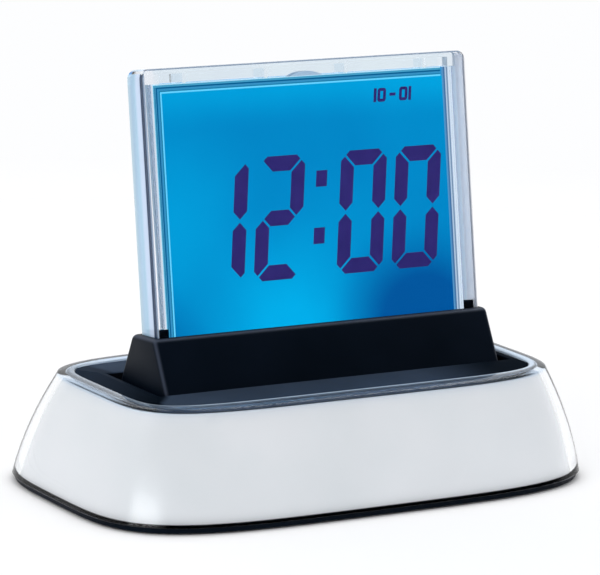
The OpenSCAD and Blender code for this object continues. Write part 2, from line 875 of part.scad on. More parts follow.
// A rectangle with cut corners, as half width a, half height b and corner c
function cut_square(a, b, c) = [
    [c - a, -b], [a - c, -b], [a, c - b], [a, b - c], [a - c, b], [c - a, b], [-a, b - c], [-a, c - b]
];

// A small calendar reading at the upper right, month and day in plain unbroken digits
module date_digits() {
    bar = 0.22 * date_h;
    zero_w = 0.7 * date_h;
    dash_w = 0.5 * date_h;
    space = 0.32 * date_h;
    corner_cut = 0.9 * bar;
    zero_x = bar + space + zero_w / 2;
    middle_x = bar + space + zero_w + space + dash_w / 2;
    translate([date_right - middle_x, 0]) {
        square([dash_w, bar], center = true);
        for (side = [-1, 1]) {
            translate([side * (middle_x - bar / 2), 0])
                square([bar, date_h], center = true);
            translate([side * (middle_x - zero_x), 0])
                difference() {
                    polygon(cut_square(zero_w / 2, date_h / 2, corner_cut));
                    polygon(cut_square(zero_w / 2 - bar, date_h / 2 - bar, 0.4 * corner_cut));
                }
        }
    }
}

// Leans children sideways about a line at a height up the panel
module leaning(height) {
    translate([0, height])
        multmatrix([[1, slant, 0, 0], [0, 1, 0, 0], [0, 0, 1, 0], [0, 0, 0, 1]])
            children();
}

module lcd_segments() {
    color([0.17, 0.13, 0.4])
        on_panel()
            translate([0, 0, -glass_w0 - glass_t - cell_gap])
                linear_extrude(cell_gap) {
                    leaning(digit_mid)
                        time_digits();
                    leaning(date_mid)
                        date_digits();
                }
}

// Bead that closes the filling hole at the head of the glass
module lcd_fill_plug() {
    chord = 8;
    bead = 1.0;
    r = (chord * chord / 4 + bead * bead) / (2 * bead);
    color([0.75, 0.85, 0.9])
        on_panel()
            translate([0, glass_top, -glass_w0 - 2 * glass_t - cell_gap])
                linear_extrude(2 * glass_t + cell_gap)
                    intersection() {
                        translate([0, bead - r])
                            circle(r, $fn = 360);
                        translate([-chord, 0])
                            square([2 * chord, 1]);
                    }
}

module light_guide() {
    color([0.3, 0.75, 0.98])
        slab(-glass_w / 2, glass_w / 2, guide_foot, glass_top, guide_w0, guide_w0 + guide_t);
}

module reflector_sheet() {
    color([0.95, 0.95, 0.96])
        slab(-glass_w / 2, glass_w / 2, guide_foot, glass_top, film_w0, film_w0 + film_t);
}

module led_board() {
    half = glass_w / 2 - 1;
    color([0.1, 0.4, 0.25])
        slab(-half, half, panel_seat + seat_gap, panel_seat + seat_gap + led_board_t,
            guide_w0, guide_w0 + guide_t);
}

module leds() {
    led_w = 3;
    low = panel_seat + seat_gap + led_board_t;
    spacing = glass_w / 4.6;
    color([0.75, 0.85, 1])
        for (k = [-1.5, -0.5, 0.5, 1.5])
            slab(k * spacing - led_w / 2, k * spacing + led_w / 2, low, low + led_h,
                guide_w0 + 0.2, guide_w0 + guide_t - 0.2);
}

// Flat flexible cable from the glass ledge down to the board
module display_ribbon() {
    top_z = (guide_foot + ledge - 0.2) * cos(panel_tilt) - ribbon_w0 * sin(panel_tilt);
    bend_z = floor_z - 0.2;
    low_z = board_top + socket_floor + 0.5;
    front = ribbon_w0;
    back = ribbon_w0 + ribbon_t;
    color([0.8, 0.55, 0.2])
        translate([ribbon_x + ribbon_width / 2, 0, 0])
            sideways(ribbon_width / 2)
                polygon([
                    [panel_at(top_z, front), top_z],
                    [panel_at(bend_z, front), bend_z],
                    [panel_at(bend_z, front), low_z],
                    [panel_at(bend_z, back), low_z],
                    [panel_at(bend_z, back), bend_z],
                    [panel_at(top_z, back), top_z]
                ]);
}

spring_turns = 4.5;
module return_spring(side) {
    lift = spring_wire / 2 + 0.05;
    color(steel)
        translate([side * guide_x, guide_y, tower_top + lift])
            wire(coil(spring_r, spring_r, spring_len - 2 * lift, spring_turns),
                spring_wire / 2, 6, [0, 0, 1]);
}

snooze_body_h = 3.5;
snooze_top = board_top + snooze_body_h + press_travel + 0.4;
module snooze_plunger() {
    color([0.3, 0.3, 0.32])
        rod(0, snooze_y, snooze_top - press_travel - 1.9, snooze_top, plunger_d);
}

// Circuit board

module main_board() {
    color([0.1, 0.42, 0.22])
        difference() {
            box(-board_half, board_half, board_front, board_rear, board_z, board_top);
            for (sx = [-1, 1], y = standoff_ys)
                rod(sx * standoff_x, y, board_z - eps, board_top + eps, small_screw_d + shank_gap);
        }
}

module board_screws() {
    color(steel)
        for (sx = [-1, 1], y = standoff_ys)
            screw(sx * standoff_x, y, board_top, small_screw_d, small_screw_head,
                small_screw_head_h, small_screw_len, 1);
}

// Domed drop of resin over the clock's bare chip
module clock_chip() {
    r = (chip_d * chip_d / 4 + chip_h * chip_h) / (2 * chip_h);
    color([0.07, 0.07, 0.08])
        translate([chip_x, control_y - chip_back, board_top])
            intersection() {
                translate([0, 0, chip_h - r])
                    sphere(r, $fn = 120);
                cylinder(d = 2 * chip_d, h = 2 * chip_h);
            }
}

module crystal() {
    color(steel)
        translate([crystal_x, control_y - crystal_back, board_top + crystal_d / 2])
            rotate([0, 90, 0])
                cylinder(d = crystal_d, h = crystal_len);
}

module buzzer() {
    color([0.06, 0.06, 0.07])
        translate([buzzer_x, control_y + chip_back, board_top])
            difference() {
                cylinder(d = buzzer_d, h = buzzer_h);
                translate([0, 0, buzzer_h - buzzer_mouth])
                    cylinder(d = buzzer_mouth, h = buzzer_mouth + eps);
            }
}

function button_x(i) = (i - 2) * button_pitch;

module set_switches() {
    depth = button_travel + 1.9;
    color([0.2, 0.2, 0.22])
        for (i = [0 : len(button_names) - 1])
            difference() {
                box(button_x(i) - switch_w / 2, button_x(i) + switch_w / 2,
                    control_y - switch_w / 2, control_y + switch_w / 2,
                    board_z - switch_h, board_z);
                rod(button_x(i), control_y, board_z - switch_h - eps, board_z - switch_h + depth,
                    plunger_d + 0.4);
            }
}

module snooze_switch() {
    color([0.2, 0.2, 0.22])
        difference() {
            box(-switch_w / 2, switch_w / 2, snooze_y - switch_w / 2, snooze_y + switch_w / 2,
                board_top, board_top + snooze_body_h);
            rod(0, snooze_y, snooze_top - 2 * press_travel - 2.0, board_top + snooze_body_h + eps,
                plunger_d + 0.4);
        }
}

knob_w = 4.6;
knob_lap = 0.6;
knob_d = 3.4;
lever_w = 1.5;
alarm_body_h = 3.5;
lever_sunk = 1.1;

module alarm_switch() {
    low = board_z - alarm_body_h;
    color([0.72, 0.73, 0.75])
        difference() {
            box(alarm_x - 4.5, alarm_x + 4.5, control_y - 2, control_y + 2, low, board_z);
            box(alarm_rest - lever_w / 2 - 0.2, alarm_rest + alarm_travel + lever_w / 2 + 0.2,
                control_y - lever_w / 2 - 0.2, control_y + lever_w / 2 + 0.2,
                low - eps, low + lever_sunk + 0.3);
        }
}

module alarm_lever() {
    color([0.12, 0.12, 0.13])
        box(alarm_rest - lever_w / 2, alarm_rest + lever_w / 2,
            control_y - lever_w / 2, control_y + lever_w / 2,
            button_flange_z + 0.8, board_z - alarm_body_h + lever_sunk);
}

// Thumb slide in the bottom plate, with a flange that hides its slot and grip ridges
module alarm_knob() {
    flange_w = knob_w + alarm_travel + 1.4;
    flange_half = knob_d / 2 + knob_lap;
    color([0.85, 0.85, 0.86])
        difference() {
            union() {
                box(alarm_rest - knob_w / 2, alarm_rest + knob_w / 2,
                    control_y - knob_d / 2, control_y + knob_d / 2,
                    button_cap_z, button_flange_z);
                box(alarm_rest - flange_w / 2, alarm_rest + flange_w / 2,
                    control_y - flange_half, control_y + flange_half,
                    button_flange_z, button_flange_z + 0.8);
            }
            for (k = [-1, 0, 1])
                box(alarm_rest + 1.3 * k - 0.3, alarm_rest + 1.3 * k + 0.3,
                    control_y - knob_d, control_y + knob_d, 0, button_cap_z + 0.35);
        }
}

module set_button(i) {
    color([0.85, 0.85, 0.86]) {
        rod(button_x(i), control_y, button_cap_z, button_flange_z + 0.1, button_d);
        rod(button_x(i), control_y, button_flange_z, button_flange_z + button_flange_t,
            button_d + 2 * button_rim);
        rod(button_x(i), control_y, button_flange_z + 0.1, plunger_z, 2 * button_rim);
    }
}

module set_plunger(i) {
    color([0.3, 0.3, 0.32])
        rod(button_x(i), control_y, plunger_z, plunger_z + plunger_out + 1.4, plunger_d);
}

module ribbon_socket() {
    y = panel_at(floor_z - 0.2, ribbon_w0) + ribbon_t / 2;
    color([0.9, 0.88, 0.8])
        difference() {
            box(ribbon_x - socket_half, ribbon_x + ribbon_width + socket_half,
                y - socket_half, y + socket_half, board_top, board_top + socket_h);
            box(ribbon_x - 0.2, ribbon_x + ribbon_width + 0.2, y - 0.2, y + 0.2,
                board_top + socket_floor, board_top + socket_h + eps);
        }
}

// Battery bay

module door_outline(half, rear_cut) {
    intersection() {
        plate_outline();
        translate([-half, door_front])
            square([2 * half, base_d - rear_cut]);
    }
}

module battery_door() {
    mid = (door_bottom + door_top) / 2;
    ridge = 0.8;
    color(black_satin)
        difference() {
            union() {
                translate([0, 0, door_bottom])
                    linear_extrude(door_top - door_bottom)
                        door_outline(door_half, 0);
                translate([0, 0, mid])
                    linear_extrude(door_top - mid)
                        door_outline(door_half + tongue, 0);
            }
            // Thumb ridges
            for (k = [0 : 5])
                box(-8, 8, bay_rear - 8 + 2 * ridge * k, bay_rear - 8 + ridge * (2 * k + 1),
                    0, door_bottom + 0.3);
        }
}

// A cylindrical cell with a raised contact; turn is 1 when the contact points right
module battery_cell(i) {
    turn = i % 2 == 0 ? 1 : -1;
    nub_d = 3.6;
    nub_h = 0.9;
    colours = [[0.2, 0.25, 0.3], [0.2, 0.25, 0.3], [0.2, 0.25, 0.3]];
    color(colours[i])
        translate([turn * (contact_t + contact_len - bay_half), cell_y(i), cell_z])
            rotate([0, turn * 90, 0]) {
                cylinder(d = cell_d, h = cell_len - nub_h);
                cylinder(d = nub_d, h = cell_len);
            }
}

contact_w = 8;
contact_h = 8;

// One contact plate across the cells from i to j at the end given by side
module contact_plate(side, i, j, tab) {
    low = cell_z - contact_h / 2;
    x0 = side > 0 ? bay_half - contact_t : -bay_half;
    box(x0, x0 + contact_t, cell_y(i) - contact_w / 2, cell_y(j) + contact_w / 2,
        low, low + contact_h);
    if (tab)
        box(x0, x0 + contact_t, cell_y(i) - 1.5, cell_y(i) + 1.5, low, bay_top + 1.2);
}

module contact_plates() {
    last = cell_count - 1;
    color([0.8, 0.76, 0.6]) {
        contact_plate(-1, 0, 0, true);
        contact_plate(-1, 1, last, false);
        contact_plate(1, 0, 1, false);
        contact_plate(1, last, last, true);
    }
}

contact_wire = 0.7;
contact_turns = 2;
coil_wide = 3.6;
coil_narrow = 2.6;

module contact_springs() {
    lift = contact_wire / 2 + 0.05;
    color(steel)
        for (i = [0 : cell_count - 1])
            let (turn = i % 2 == 0 ? 1 : -1)
            translate([turn * (contact_t + lift - bay_half), cell_y(i), cell_z])
                rotate([0, turn * 90, 0])
                    wire(coil(coil_wide, coil_narrow, contact_len - 2 * lift, contact_turns),
                        contact_wire / 2, 6, [0, 0, 1]);
}

// Least open space between neighbouring turns of a coil of pitch p and wire d
function turn_gap(p, d) = p - d;
echo(return_spring_gap = turn_gap((spring_len - spring_wire - 0.1) / spring_turns, spring_wire));
echo(contact_spring_gap = turn_gap((contact_len - contact_wire - 0.1) / contact_turns, contact_wire));

lead_d = 1.2;
lead_z = bay_top + 0.9;
lead_land = board_rear - 2.3;
lead_drop = bay_front - bay_wall - 1.6;
lead_room = 1.5;
positive_x = ribbon_x + ribbon_width + socket_half + lead_room;
negative_x = 2.4 - bay_half;
positive_route = [
    [bay_half - 1.1, cell_y(2) + 1.2, lead_z],
    [bay_half - 1.1, cell_y(2) - 6, lead_z],
    [bay_half + 1.1, cell_y(1) - 4, lead_z],
    [bay_half + 4, cell_y(0) - 1.5, lead_z],
    [positive_x, lead_drop + 1, lead_z],
    [positive_x, lead_drop - 0.9, bay_top - 0.6],
    [positive_x, lead_land, board_top + 1.6],
    [positive_x, lead_land, board_top + 0.05]
];
negative_route = [
    [1.1 - bay_half, cell_y(0) + 1.3, lead_z],
    [1.1 - bay_half, bay_front + 3, lead_z],
    [negative_x, lead_drop + 1, lead_z],
    [negative_x, lead_drop - 0.9, bay_top - 0.6],
    [negative_x, lead_land, board_top + 1.6],
    [negative_x, lead_land, board_top + 0.05]
];

module lead(route, tint) {
    color(tint)
        wire(smooth_path(route, 3), lead_d / 2, 8, [1, 0, 0]);
}

clear_cover();
white_liner();
deck();
bottom_plate();
rubber_feet();
base_screws();
cradle();
cradle_floor();
cradle_screws();
display_foot();
front_window();
rear_shell();
lcd_front_glass();
lcd_rear_glass();
lcd_segments();
lcd_fill_plug();
light_guide();
reflector_sheet();
led_board();
leds();
display_ribbon();
return_spring(-1);  // return_spring_left
return_spring(1);  // return_spring_right
snooze_plunger();
main_board();
board_screws();
clock_chip();
crystal();
buzzer();
set_switches();
snooze_switch();
alarm_switch();
ribbon_socket();
battery_door();
contact_plates();
contact_springs();
lead(positive_route, [0.75, 0.08, 0.08]);  // positive_lead
lead(negative_route, [0.08, 0.08, 0.08]);  // negative_lead
alarm_knob();
alarm_lever();
for (i = [0 : cell_count - 1])
    battery_cell(i);
for (i = [0 : len(button_names) - 1]) {
    set_button(i);
    set_plunger(i);
}
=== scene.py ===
# %% [markdown]
# # A digital desk clock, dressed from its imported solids
# The clock is a blue liquid-crystal display in a clear case. It leans in a black cradle, and the
# cradle stands in a black deck on a flared white base under a clear cover. The solids come from
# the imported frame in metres, so each new piece is drawn at the same place as the solid it stands
# for, and the joints of the frame move it.

# %% Load the frame
import json
from math import copysign, cos, hypot, radians, sin

import bmesh
import bpy
from mathutils import Matrix, Vector


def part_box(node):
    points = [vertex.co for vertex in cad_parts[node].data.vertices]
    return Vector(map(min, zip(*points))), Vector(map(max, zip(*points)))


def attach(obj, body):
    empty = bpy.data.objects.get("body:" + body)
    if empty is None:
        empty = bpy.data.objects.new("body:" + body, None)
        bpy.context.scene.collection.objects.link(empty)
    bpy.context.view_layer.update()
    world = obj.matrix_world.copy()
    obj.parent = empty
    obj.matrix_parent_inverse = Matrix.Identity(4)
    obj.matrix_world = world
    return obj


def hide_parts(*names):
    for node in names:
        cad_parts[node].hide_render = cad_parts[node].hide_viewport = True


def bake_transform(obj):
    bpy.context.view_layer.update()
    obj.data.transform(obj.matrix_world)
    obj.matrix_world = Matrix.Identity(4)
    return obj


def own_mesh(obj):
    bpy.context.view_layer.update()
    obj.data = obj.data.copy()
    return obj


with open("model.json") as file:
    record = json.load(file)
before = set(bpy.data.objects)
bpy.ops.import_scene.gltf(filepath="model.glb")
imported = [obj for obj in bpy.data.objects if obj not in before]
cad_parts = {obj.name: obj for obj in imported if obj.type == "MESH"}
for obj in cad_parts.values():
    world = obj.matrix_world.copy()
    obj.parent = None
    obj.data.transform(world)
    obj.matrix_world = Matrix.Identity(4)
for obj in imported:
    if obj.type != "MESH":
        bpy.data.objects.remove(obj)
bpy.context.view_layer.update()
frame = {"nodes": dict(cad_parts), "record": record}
mm = 0.001

# %% [markdown]
# ## Camera
# The photograph was taken with a long lens from the left and a little above, so the uprights
# hardly converge. A camera is easiest to place by its own three axes: the way back from the
# object, the way to the right of the picture and the way up it. The picture leans by a degree and
# a half, and turning the last two axes about the first gives that lean.

# %% Camera
turn, lift, lean = radians(-30.62), radians(11.58), radians(1.417)
aim = Vector((-0.58, 0, 42.35)) * mm
reach = 880 * mm

back = Vector((sin(turn) * cos(lift), -cos(turn) * cos(lift), sin(lift)))
level = Vector((0, 0, 1)).cross(back).normalized()
upright = back.cross(level)
across = cos(lean) * level + sin(lean) * upright
upward = cos(lean) * upright - sin(lean) * level

lens = bpy.data.cameras.new("camera")
lens.lens = 242.34
lens.sensor_width = 36
lens.clip_start, lens.clip_end = 0.05, 20
camera = bpy.data.objects.new("camera", lens)
camera.matrix_world = Matrix.Translation(aim + reach * back) @ Matrix(
    (across, upward, back)).transposed().to_4x4()
bpy.context.scene.collection.objects.link(camera)
bpy.context.scene.camera = camera
print("camera at", [round(c, 3) for c in camera.location])

# %% [markdown]
# ## Finishes from nodes
# A moulded surface is never one flat colour: its tone drifts, its polish changes from place to
# place, and a fine grain breaks up highlights. Image files could carry that, but noise on the
# piece's own coordinates needs no file and fits any shape. These helpers start a finish and give it
# a place to measure from. Colours are written as they show on a screen and turned into light values
# first.

# %% Helpers for colour and place
def shown(red, green, blue):
    def light(c):
        c = c / 255
        return c / 12.92 if c <= 0.04045 else ((c + 0.055) / 1.055) ** 2.4
    return light(red), light(green), light(blue), 1.0


def start_finish(name):
    finish = bpy.data.materials.new(name)
    finish.use_nodes = True
    return finish, finish.node_tree, finish.node_tree.nodes["Principled BSDF"]


def place(tree, middle=(0, 0, 0), turned=(0, 0, 0), size=(1, 1, 1)):
    where = tree.nodes.new("ShaderNodeTexCoord")
    mapping = tree.nodes.new("ShaderNodeMapping")
    mapping.vector_type = "TEXTURE"
    mapping.inputs["Location"].default_value = middle
    mapping.inputs["Rotation"].default_value = turned
    mapping.inputs["Scale"].default_value = size
    tree.links.new(where.outputs["Object"], mapping.inputs["Vector"])
    return mapping.outputs["Vector"]


def axes(tree, vector):
    parts = tree.nodes.new("ShaderNodeSeparateXYZ")
    tree.links.new(vector, parts.inputs["Vector"])
    return parts.outputs


print("a screen's mid grey has", round(shown(128, 128, 128)[0], 3), "of white's light")

# %% [markdown]
# ## Values, tones and relief
# A finish is worked out as a plain value at each place, such as a noise or a distance, and only then
# turned into a colour, a polish or a height. These helpers make such values, map them from one range
# to another, add or compare two of them, look one up in a ramp of tones, and mix two colours by
# one. A noise hardly ever leaves the range from 0.3 to 0.7, so that range carries its two tones. The
# last two helpers lay a colour over the tone that a finish already has, and make a low relief.

# %% Helpers for values and tones
noise_low, noise_high = 0.3, 0.7


def noise(tree, grain, detail=3.0, stretch=(1, 1, 1)):
    texture = tree.nodes.new("ShaderNodeTexNoise")
    texture.inputs["Scale"].default_value = 1.0
    texture.inputs["Detail"].default_value = detail
    tree.links.new(place(tree, size=[grain * mm * s for s in stretch]), texture.inputs["Vector"])
    return texture.outputs["Fac"]


def ball(tree, vector):
    texture = tree.nodes.new("ShaderNodeTexGradient")
    texture.gradient_type = "SPHERICAL"
    tree.links.new(vector, texture.inputs["Vector"])
    return texture.outputs["Fac"]


def spread(tree, value, low, high, start=0.0, end=1.0, smooth=False):
    node = tree.nodes.new("ShaderNodeMapRange")
    if smooth:
        node.interpolation_type = "SMOOTHSTEP"
    tree.links.new(value, node.inputs["Value"])
    node.inputs["From Min"].default_value = start
    node.inputs["From Max"].default_value = end
    node.inputs["To Min"].default_value = low
    node.inputs["To Max"].default_value = high
    return node.outputs["Result"]


def sums(tree, first, second, how="ADD"):
    node = tree.nodes.new("ShaderNodeMath")
    node.operation = how
    for socket, value in zip(node.inputs, (first, second)):
        if isinstance(value, (int, float)):
            socket.default_value = value
        else:
            tree.links.new(value, socket)
    return node.outputs["Value"]


def tones(tree, value, *stops, steps=False):
    ramp = tree.nodes.new("ShaderNodeValToRGB")
    if steps:
        ramp.color_ramp.interpolation = "CONSTANT"
    marks = ramp.color_ramp.elements
    while len(marks) < len(stops):
        marks.new(0.5)
    for mark, (at, colour) in zip(marks, stops):
        mark.position = at
        mark.color = colour
    tree.links.new(value, ramp.inputs["Fac"])
    return ramp.outputs["Color"]


def drifting(tree, cloud, dark, light):
    return tones(tree, cloud, (noise_low, dark), (noise_high, light))


def blend(tree, share, first, second):
    mix = tree.nodes.new("ShaderNodeMix")
    mix.data_type = "RGBA"
    tree.links.new(share, mix.inputs["Factor"])
    for socket, value in ((mix.inputs["A"], first), (mix.inputs["B"], second)):
        if isinstance(value, tuple):
            socket.default_value = value
        else:
            tree.links.new(value, socket)
    return mix.outputs["Result"]


def paint_over(tree, share, colour):
    base = tree.nodes["Principled BSDF"].inputs["Base Color"]
    tree.links.new(blend(tree, share, base.links[0].from_socket, colour), base)


def relief(tree, shader, height, depth, strength):
    bump = tree.nodes.new("ShaderNodeBump")
    bump.inputs["Strength"].default_value = strength
    bump.inputs["Distance"].default_value = depth * mm
    tree.links.new(height, bump.inputs["Height"])
    tree.links.new(bump.outputs["Normal"], shader.inputs["Normal"])


# %% [markdown]
# ## Moulded plastics, rubber and metal
# Most finishes differ only in tone, polish and grain. One function makes them all: a broad cloud
# drifts the tone, a finer one drifts the polish, and the finest is a low relief, like the texture
# of the mould. Metal adds a long brushed grain by stretching that noise. Drift, grain and depth are
# in millimetres.

# %% Moulding finish
def moulding(name, dark, light, polish, drift=22, grain=0.35, depth=0.004, metal=0.0,
             stretch=(1, 1, 1), tint=(1.0, 1.0, 1.0, 1.0), index=1.5):
    finish, tree, shader = start_finish(name)
    cloud = noise(tree, drift, 3)
    tree.links.new(drifting(tree, cloud, dark, light), shader.inputs["Base Color"])
    fine = noise(tree, grain, 4, stretch)
    wear = sums(tree, sums(tree, cloud, 0.5, "MULTIPLY"), sums(tree, fine, 0.5, "MULTIPLY"))
    tree.links.new(spread(tree, wear, *polish, noise_low, noise_high), shader.inputs["Roughness"])
    shader.inputs["Metallic"].default_value = metal
    shader.inputs["Specular Tint"].default_value = tint
    shader.inputs["IOR"].default_value = index
    relief(tree, shader, fine, depth, 0.6)
    return finish


# %% [markdown]
# ## The plain finishes of the clock
# Each finish goes under the name of the slot that the record gives its pieces, so a new piece and a
# solid of the same slot look alike. The two black plastics have a low index: seen at a flat angle, a
# higher one would mirror the white studio and turn the black to grey.

# %% Plain finishes
finishes = {
    "white_plastic": moulding("white_moulding", shown(240, 241, 243), shown(244, 245, 247),
                              (0.28, 0.36)),
    # The deck's bluish grey base tone is a painted reflection of the light on its front strip; its black
    # plastic is darker.
    "black_gloss": moulding("deck_black", shown(45, 56, 71), shown(52, 64, 81), (0.42, 0.52),
                            index=1.02),
    "black_satin": moulding("satin_black", shown(2, 8, 18), shown(5, 13, 25), (0.36, 0.46),
                            grain=0.25, depth=0.006, tint=(0.66, 0.84, 1.0, 1.0), index=1.16),
    "foot_rubber": moulding("foot_rubber", shown(38, 38, 40), shown(52, 52, 54), (0.7, 0.85),
                            drift=4, grain=0.3, depth=0.03),
    "screw_steel": moulding("screw_steel", shown(150, 152, 156), shown(196, 198, 202), (0.25, 0.42),
                            drift=1.2, grain=0.2, metal=1.0, stretch=(1, 6, 6)),
    "white_sheet": moulding("reflector_white", shown(233, 236, 240), shown(237, 240, 243),
                            (0.5, 0.56), drift=9, grain=0.2, depth=0.01),
    "switch_body": moulding("switch_black", shown(26, 26, 28), shown(38, 38, 41), (0.4, 0.55),
                            drift=2, grain=0.15, depth=0.006),
    "resin": moulding("chip_resin", shown(18, 18, 20), shown(34, 34, 37), (0.3, 0.5),
                      drift=3, grain=0.5, depth=0.02),
    "socket_body": moulding("socket_ivory", shown(212, 205, 186), shown(228, 222, 206), (0.35, 0.5),
                            drift=4, grain=0.25, depth=0.008),
    "contact_metal": moulding("contact_nickel", shown(178, 176, 168), shown(214, 212, 204),
                              (0.2, 0.36), drift=2, grain=0.2, metal=1.0, stretch=(5, 1, 5)),
    "red_insulation": moulding("red_lead", shown(168, 22, 20), shown(196, 34, 30), (0.35, 0.5),
                               drift=3, grain=0.3, depth=0.006),
    "black_insulation": moulding("black_lead", shown(18, 18, 20), shown(34, 34, 36), (0.35, 0.5),
                                 drift=3, grain=0.3, depth=0.006),
    "grey_plastic": moulding("key_grey", shown(122, 126, 132), shown(140, 144, 150), (0.34, 0.46),
                             drift=3, grain=0.2, depth=0.008),
}
print("plain finishes", sorted(finishes))

# %% [markdown]
# ## Light and shade of the deck
# The deck's left slope mirrors the black end of the cradle up to a line from the cradle's corner, the
# right end lies in its shade, and hardly any light gets down into the slot. A mirror in the shader
# would need the photographer's studio around the clock, so this reflection and shade are painted on
# the deck by place. Each is a share of dark between nought and one, and the slot's share is one inside a
# box.

# %% Deck light
slot_shadow_low, slot_shadow_high = Vector((-44.1, -17.0, 20)), Vector((44.1, 7.8, 25.5))


def deck_light(finish):
    tree = finish.node_tree
    x, y, _ = axes(tree, place(tree, size=(mm, mm, mm)))
    past_corner = spread(tree, sums(tree, x, y, "SUBTRACT"), 1, 0, -26, -24)
    past_end = spread(tree, x, 1, 0, -43, -41.5)
    towards_back = spread(tree, y, 0.97, 0.6, -20, 10, smooth=True)
    left = sums(tree, sums(tree, past_corner, past_end, "MULTIPLY"), towards_back, "MULTIPLY")
    right = spread(tree, x, 0, 0.95, 18, 38, smooth=True)
    # painted reflection of the cradle's black end on the left slope, and painted shade at the right end
    paint_over(tree, sums(tree, left, right, "MAXIMUM"), shown(3, 8, 15))


def shade(finish, low, high):
    tree = finish.node_tree
    inside = place(tree, (low + high) / 2 * mm, size=(high - low) / 2 * mm)
    x, y, z = [sums(tree, axis, 0, "ABSOLUTE") for axis in axes(tree, inside)]
    far = sums(tree, sums(tree, x, y, "MAXIMUM"), z, "MAXIMUM")
    # painted shade inside the slot
    paint_over(tree, spread(tree, far, 1, 0, 0.97, 1.0), shown(1, 2, 5))


deck_light(finishes["black_gloss"])
shade(finishes["black_gloss"], slot_shadow_low, slot_shadow_high)
print("deck finish has", len(finishes["black_gloss"].node_tree.nodes), "nodes")

# %% [markdown]
# ## Clear plastic and glass
# The cover, the case and the glass are seen through, so their shader transmits light and bends it
# by the index of the plastic. Real clear mouldings still have faint flow marks, which a slow noise
# gives as a small change of polish and an almost flat relief. The tint is a little blue, as in the
# edges of the photographed case.

# %% Clear finishes
flow_size, flow_depth, flow_strength = 16, 0.0015, 0.3


def clear(name, dark, light, index):
    finish, tree, shader = start_finish(name)
    cloud = noise(tree, flow_size, 2)
    tree.links.new(drifting(tree, cloud, dark, light), shader.inputs["Base Color"])
    polish = spread(tree, cloud, 0.0, 0.03, noise_low, noise_high)
    tree.links.new(polish, shader.inputs["Roughness"])
    shader.inputs["Transmission Weight"].default_value = 1.0
    shader.inputs["IOR"].default_value = index
    relief(tree, shader, cloud, flow_depth, flow_strength)
    return finish


finishes["clear_plastic"] = clear("clear_styrene", shown(250, 252, 253), shown(253, 254, 255), 1.2)
finishes["lcd_glass"] = clear("front_glass", shown(250, 253, 254), shown(253, 254, 255), 1.12)
print("clear finishes made")

# %% [markdown]
# ## Painted light on the lip and a painted dark foot of the cover
# Where the cover turns in to meet the deck, its thick lip scatters light and shows as a pale blue line
# round the opening. At its foot the black plate below shows through as a dark line. Both would take
# many bounces of light to come out by themselves, so both are painted: the lip gives up some of its
# transmission and is painted pale blue, less so at its left end, and the foot is painted dark. The
# opening's outline is a rounded rectangle, x to the sixth power plus y to the sixth is one, and what
# that sum has over one says how far beyond the outline a place lies.

# %% Lip and foot of the cover
opening_half, opening_corner, ahead = Vector((48.7, 23.5)), 6, 1.5


def paint_lip_light_and_dark_foot(finish):
    tree = finish.node_tree
    opening = place(tree, Vector((0, -ahead, 0)) * mm, size=Vector((*opening_half, 1)) * mm)
    x, y, z = axes(tree, opening)
    sideways, endways = [sums(tree, sums(tree, axis, 0, "ABSOLUTE"), opening_corner, "POWER")
                         for axis in (x, y)]
    beyond = sums(tree, sums(tree, sideways, endways), 1, "SUBTRACT")
    beyond = sums(tree, beyond, sums(tree, sideways, 1), "MULTIPLY")
    high = spread(tree, z, 0, 1, 23.8, 24.5)
    # the painted light on the lip is weaker at its left end
    lip_light_share = spread(tree, x, 0.35, 0.95, -0.95, -0.75)
    lip = sums(tree, spread(tree, beyond, 1, 0.05, 0.25, 0.4), lip_light_share, "MULTIPLY")
    painted_lip_light = sums(tree, high, lip, "MULTIPLY")
    shader = tree.nodes["Principled BSDF"]
    tree.links.new(sums(tree, 1, painted_lip_light, "SUBTRACT"), shader.inputs["Transmission Weight"])
    # painted pale blue light of the lip
    paint_over(tree, high, shown(208, 226, 245))
    # painted dark line at the foot, where the black plate shows through
    paint_over(tree, spread(tree, z, 1, 0, 1.75, 1.95), shown(16, 18, 24))


paint_lip_light_and_dark_foot(finishes["clear_plastic"])
print("cover finish has", len(finishes["clear_plastic"].node_tree.nodes), "nodes")

# %% [markdown]
# ## The lit display
# The rear glass glows blue from lamps at its foot, so its light is uneven: brightest low and left
# of the middle, dark in the lower right corner, and lighter again along the top. Each of those is a
# soft round glow at one place on the leaning panel. Added up they give one value, and a ramp turns
# that value into the blues. The Mapping node is turned with the panel, so the glows lie flat on it.
# Along the glass's border the light breaks into fine lines, which two ramps of their own give.

# %% Places on the panel
tilt = radians(9.1)
panel_foot = Vector((0, -13.4, 0)) * mm
onto_panel = Matrix.Translation(panel_foot) @ Matrix.Rotation(radians(90) - tilt, 4, "X")


def on_panel(u, v):
    return onto_panel @ (Vector((u, v, 0)) * mm)


def panel_place(tree, u=0.0, v=0.0, size=(1, 1, 1)):
    return place(tree, on_panel(u, v), (radians(90) - tilt, 0, 0), [mm * s for s in size])


def panel_axes(tree):
    return axes(tree, panel_place(tree))


print("panel's head leans to y =", round(on_panel(0, 93).y / mm, 1))


# %% Display light
def glow(tree, u, v, wide, high, gain):
    deep = 200
    fall = ball(tree, panel_place(tree, u, v, (wide, high, deep)))
    return spread(tree, fall, 0.0, gain, smooth=True)


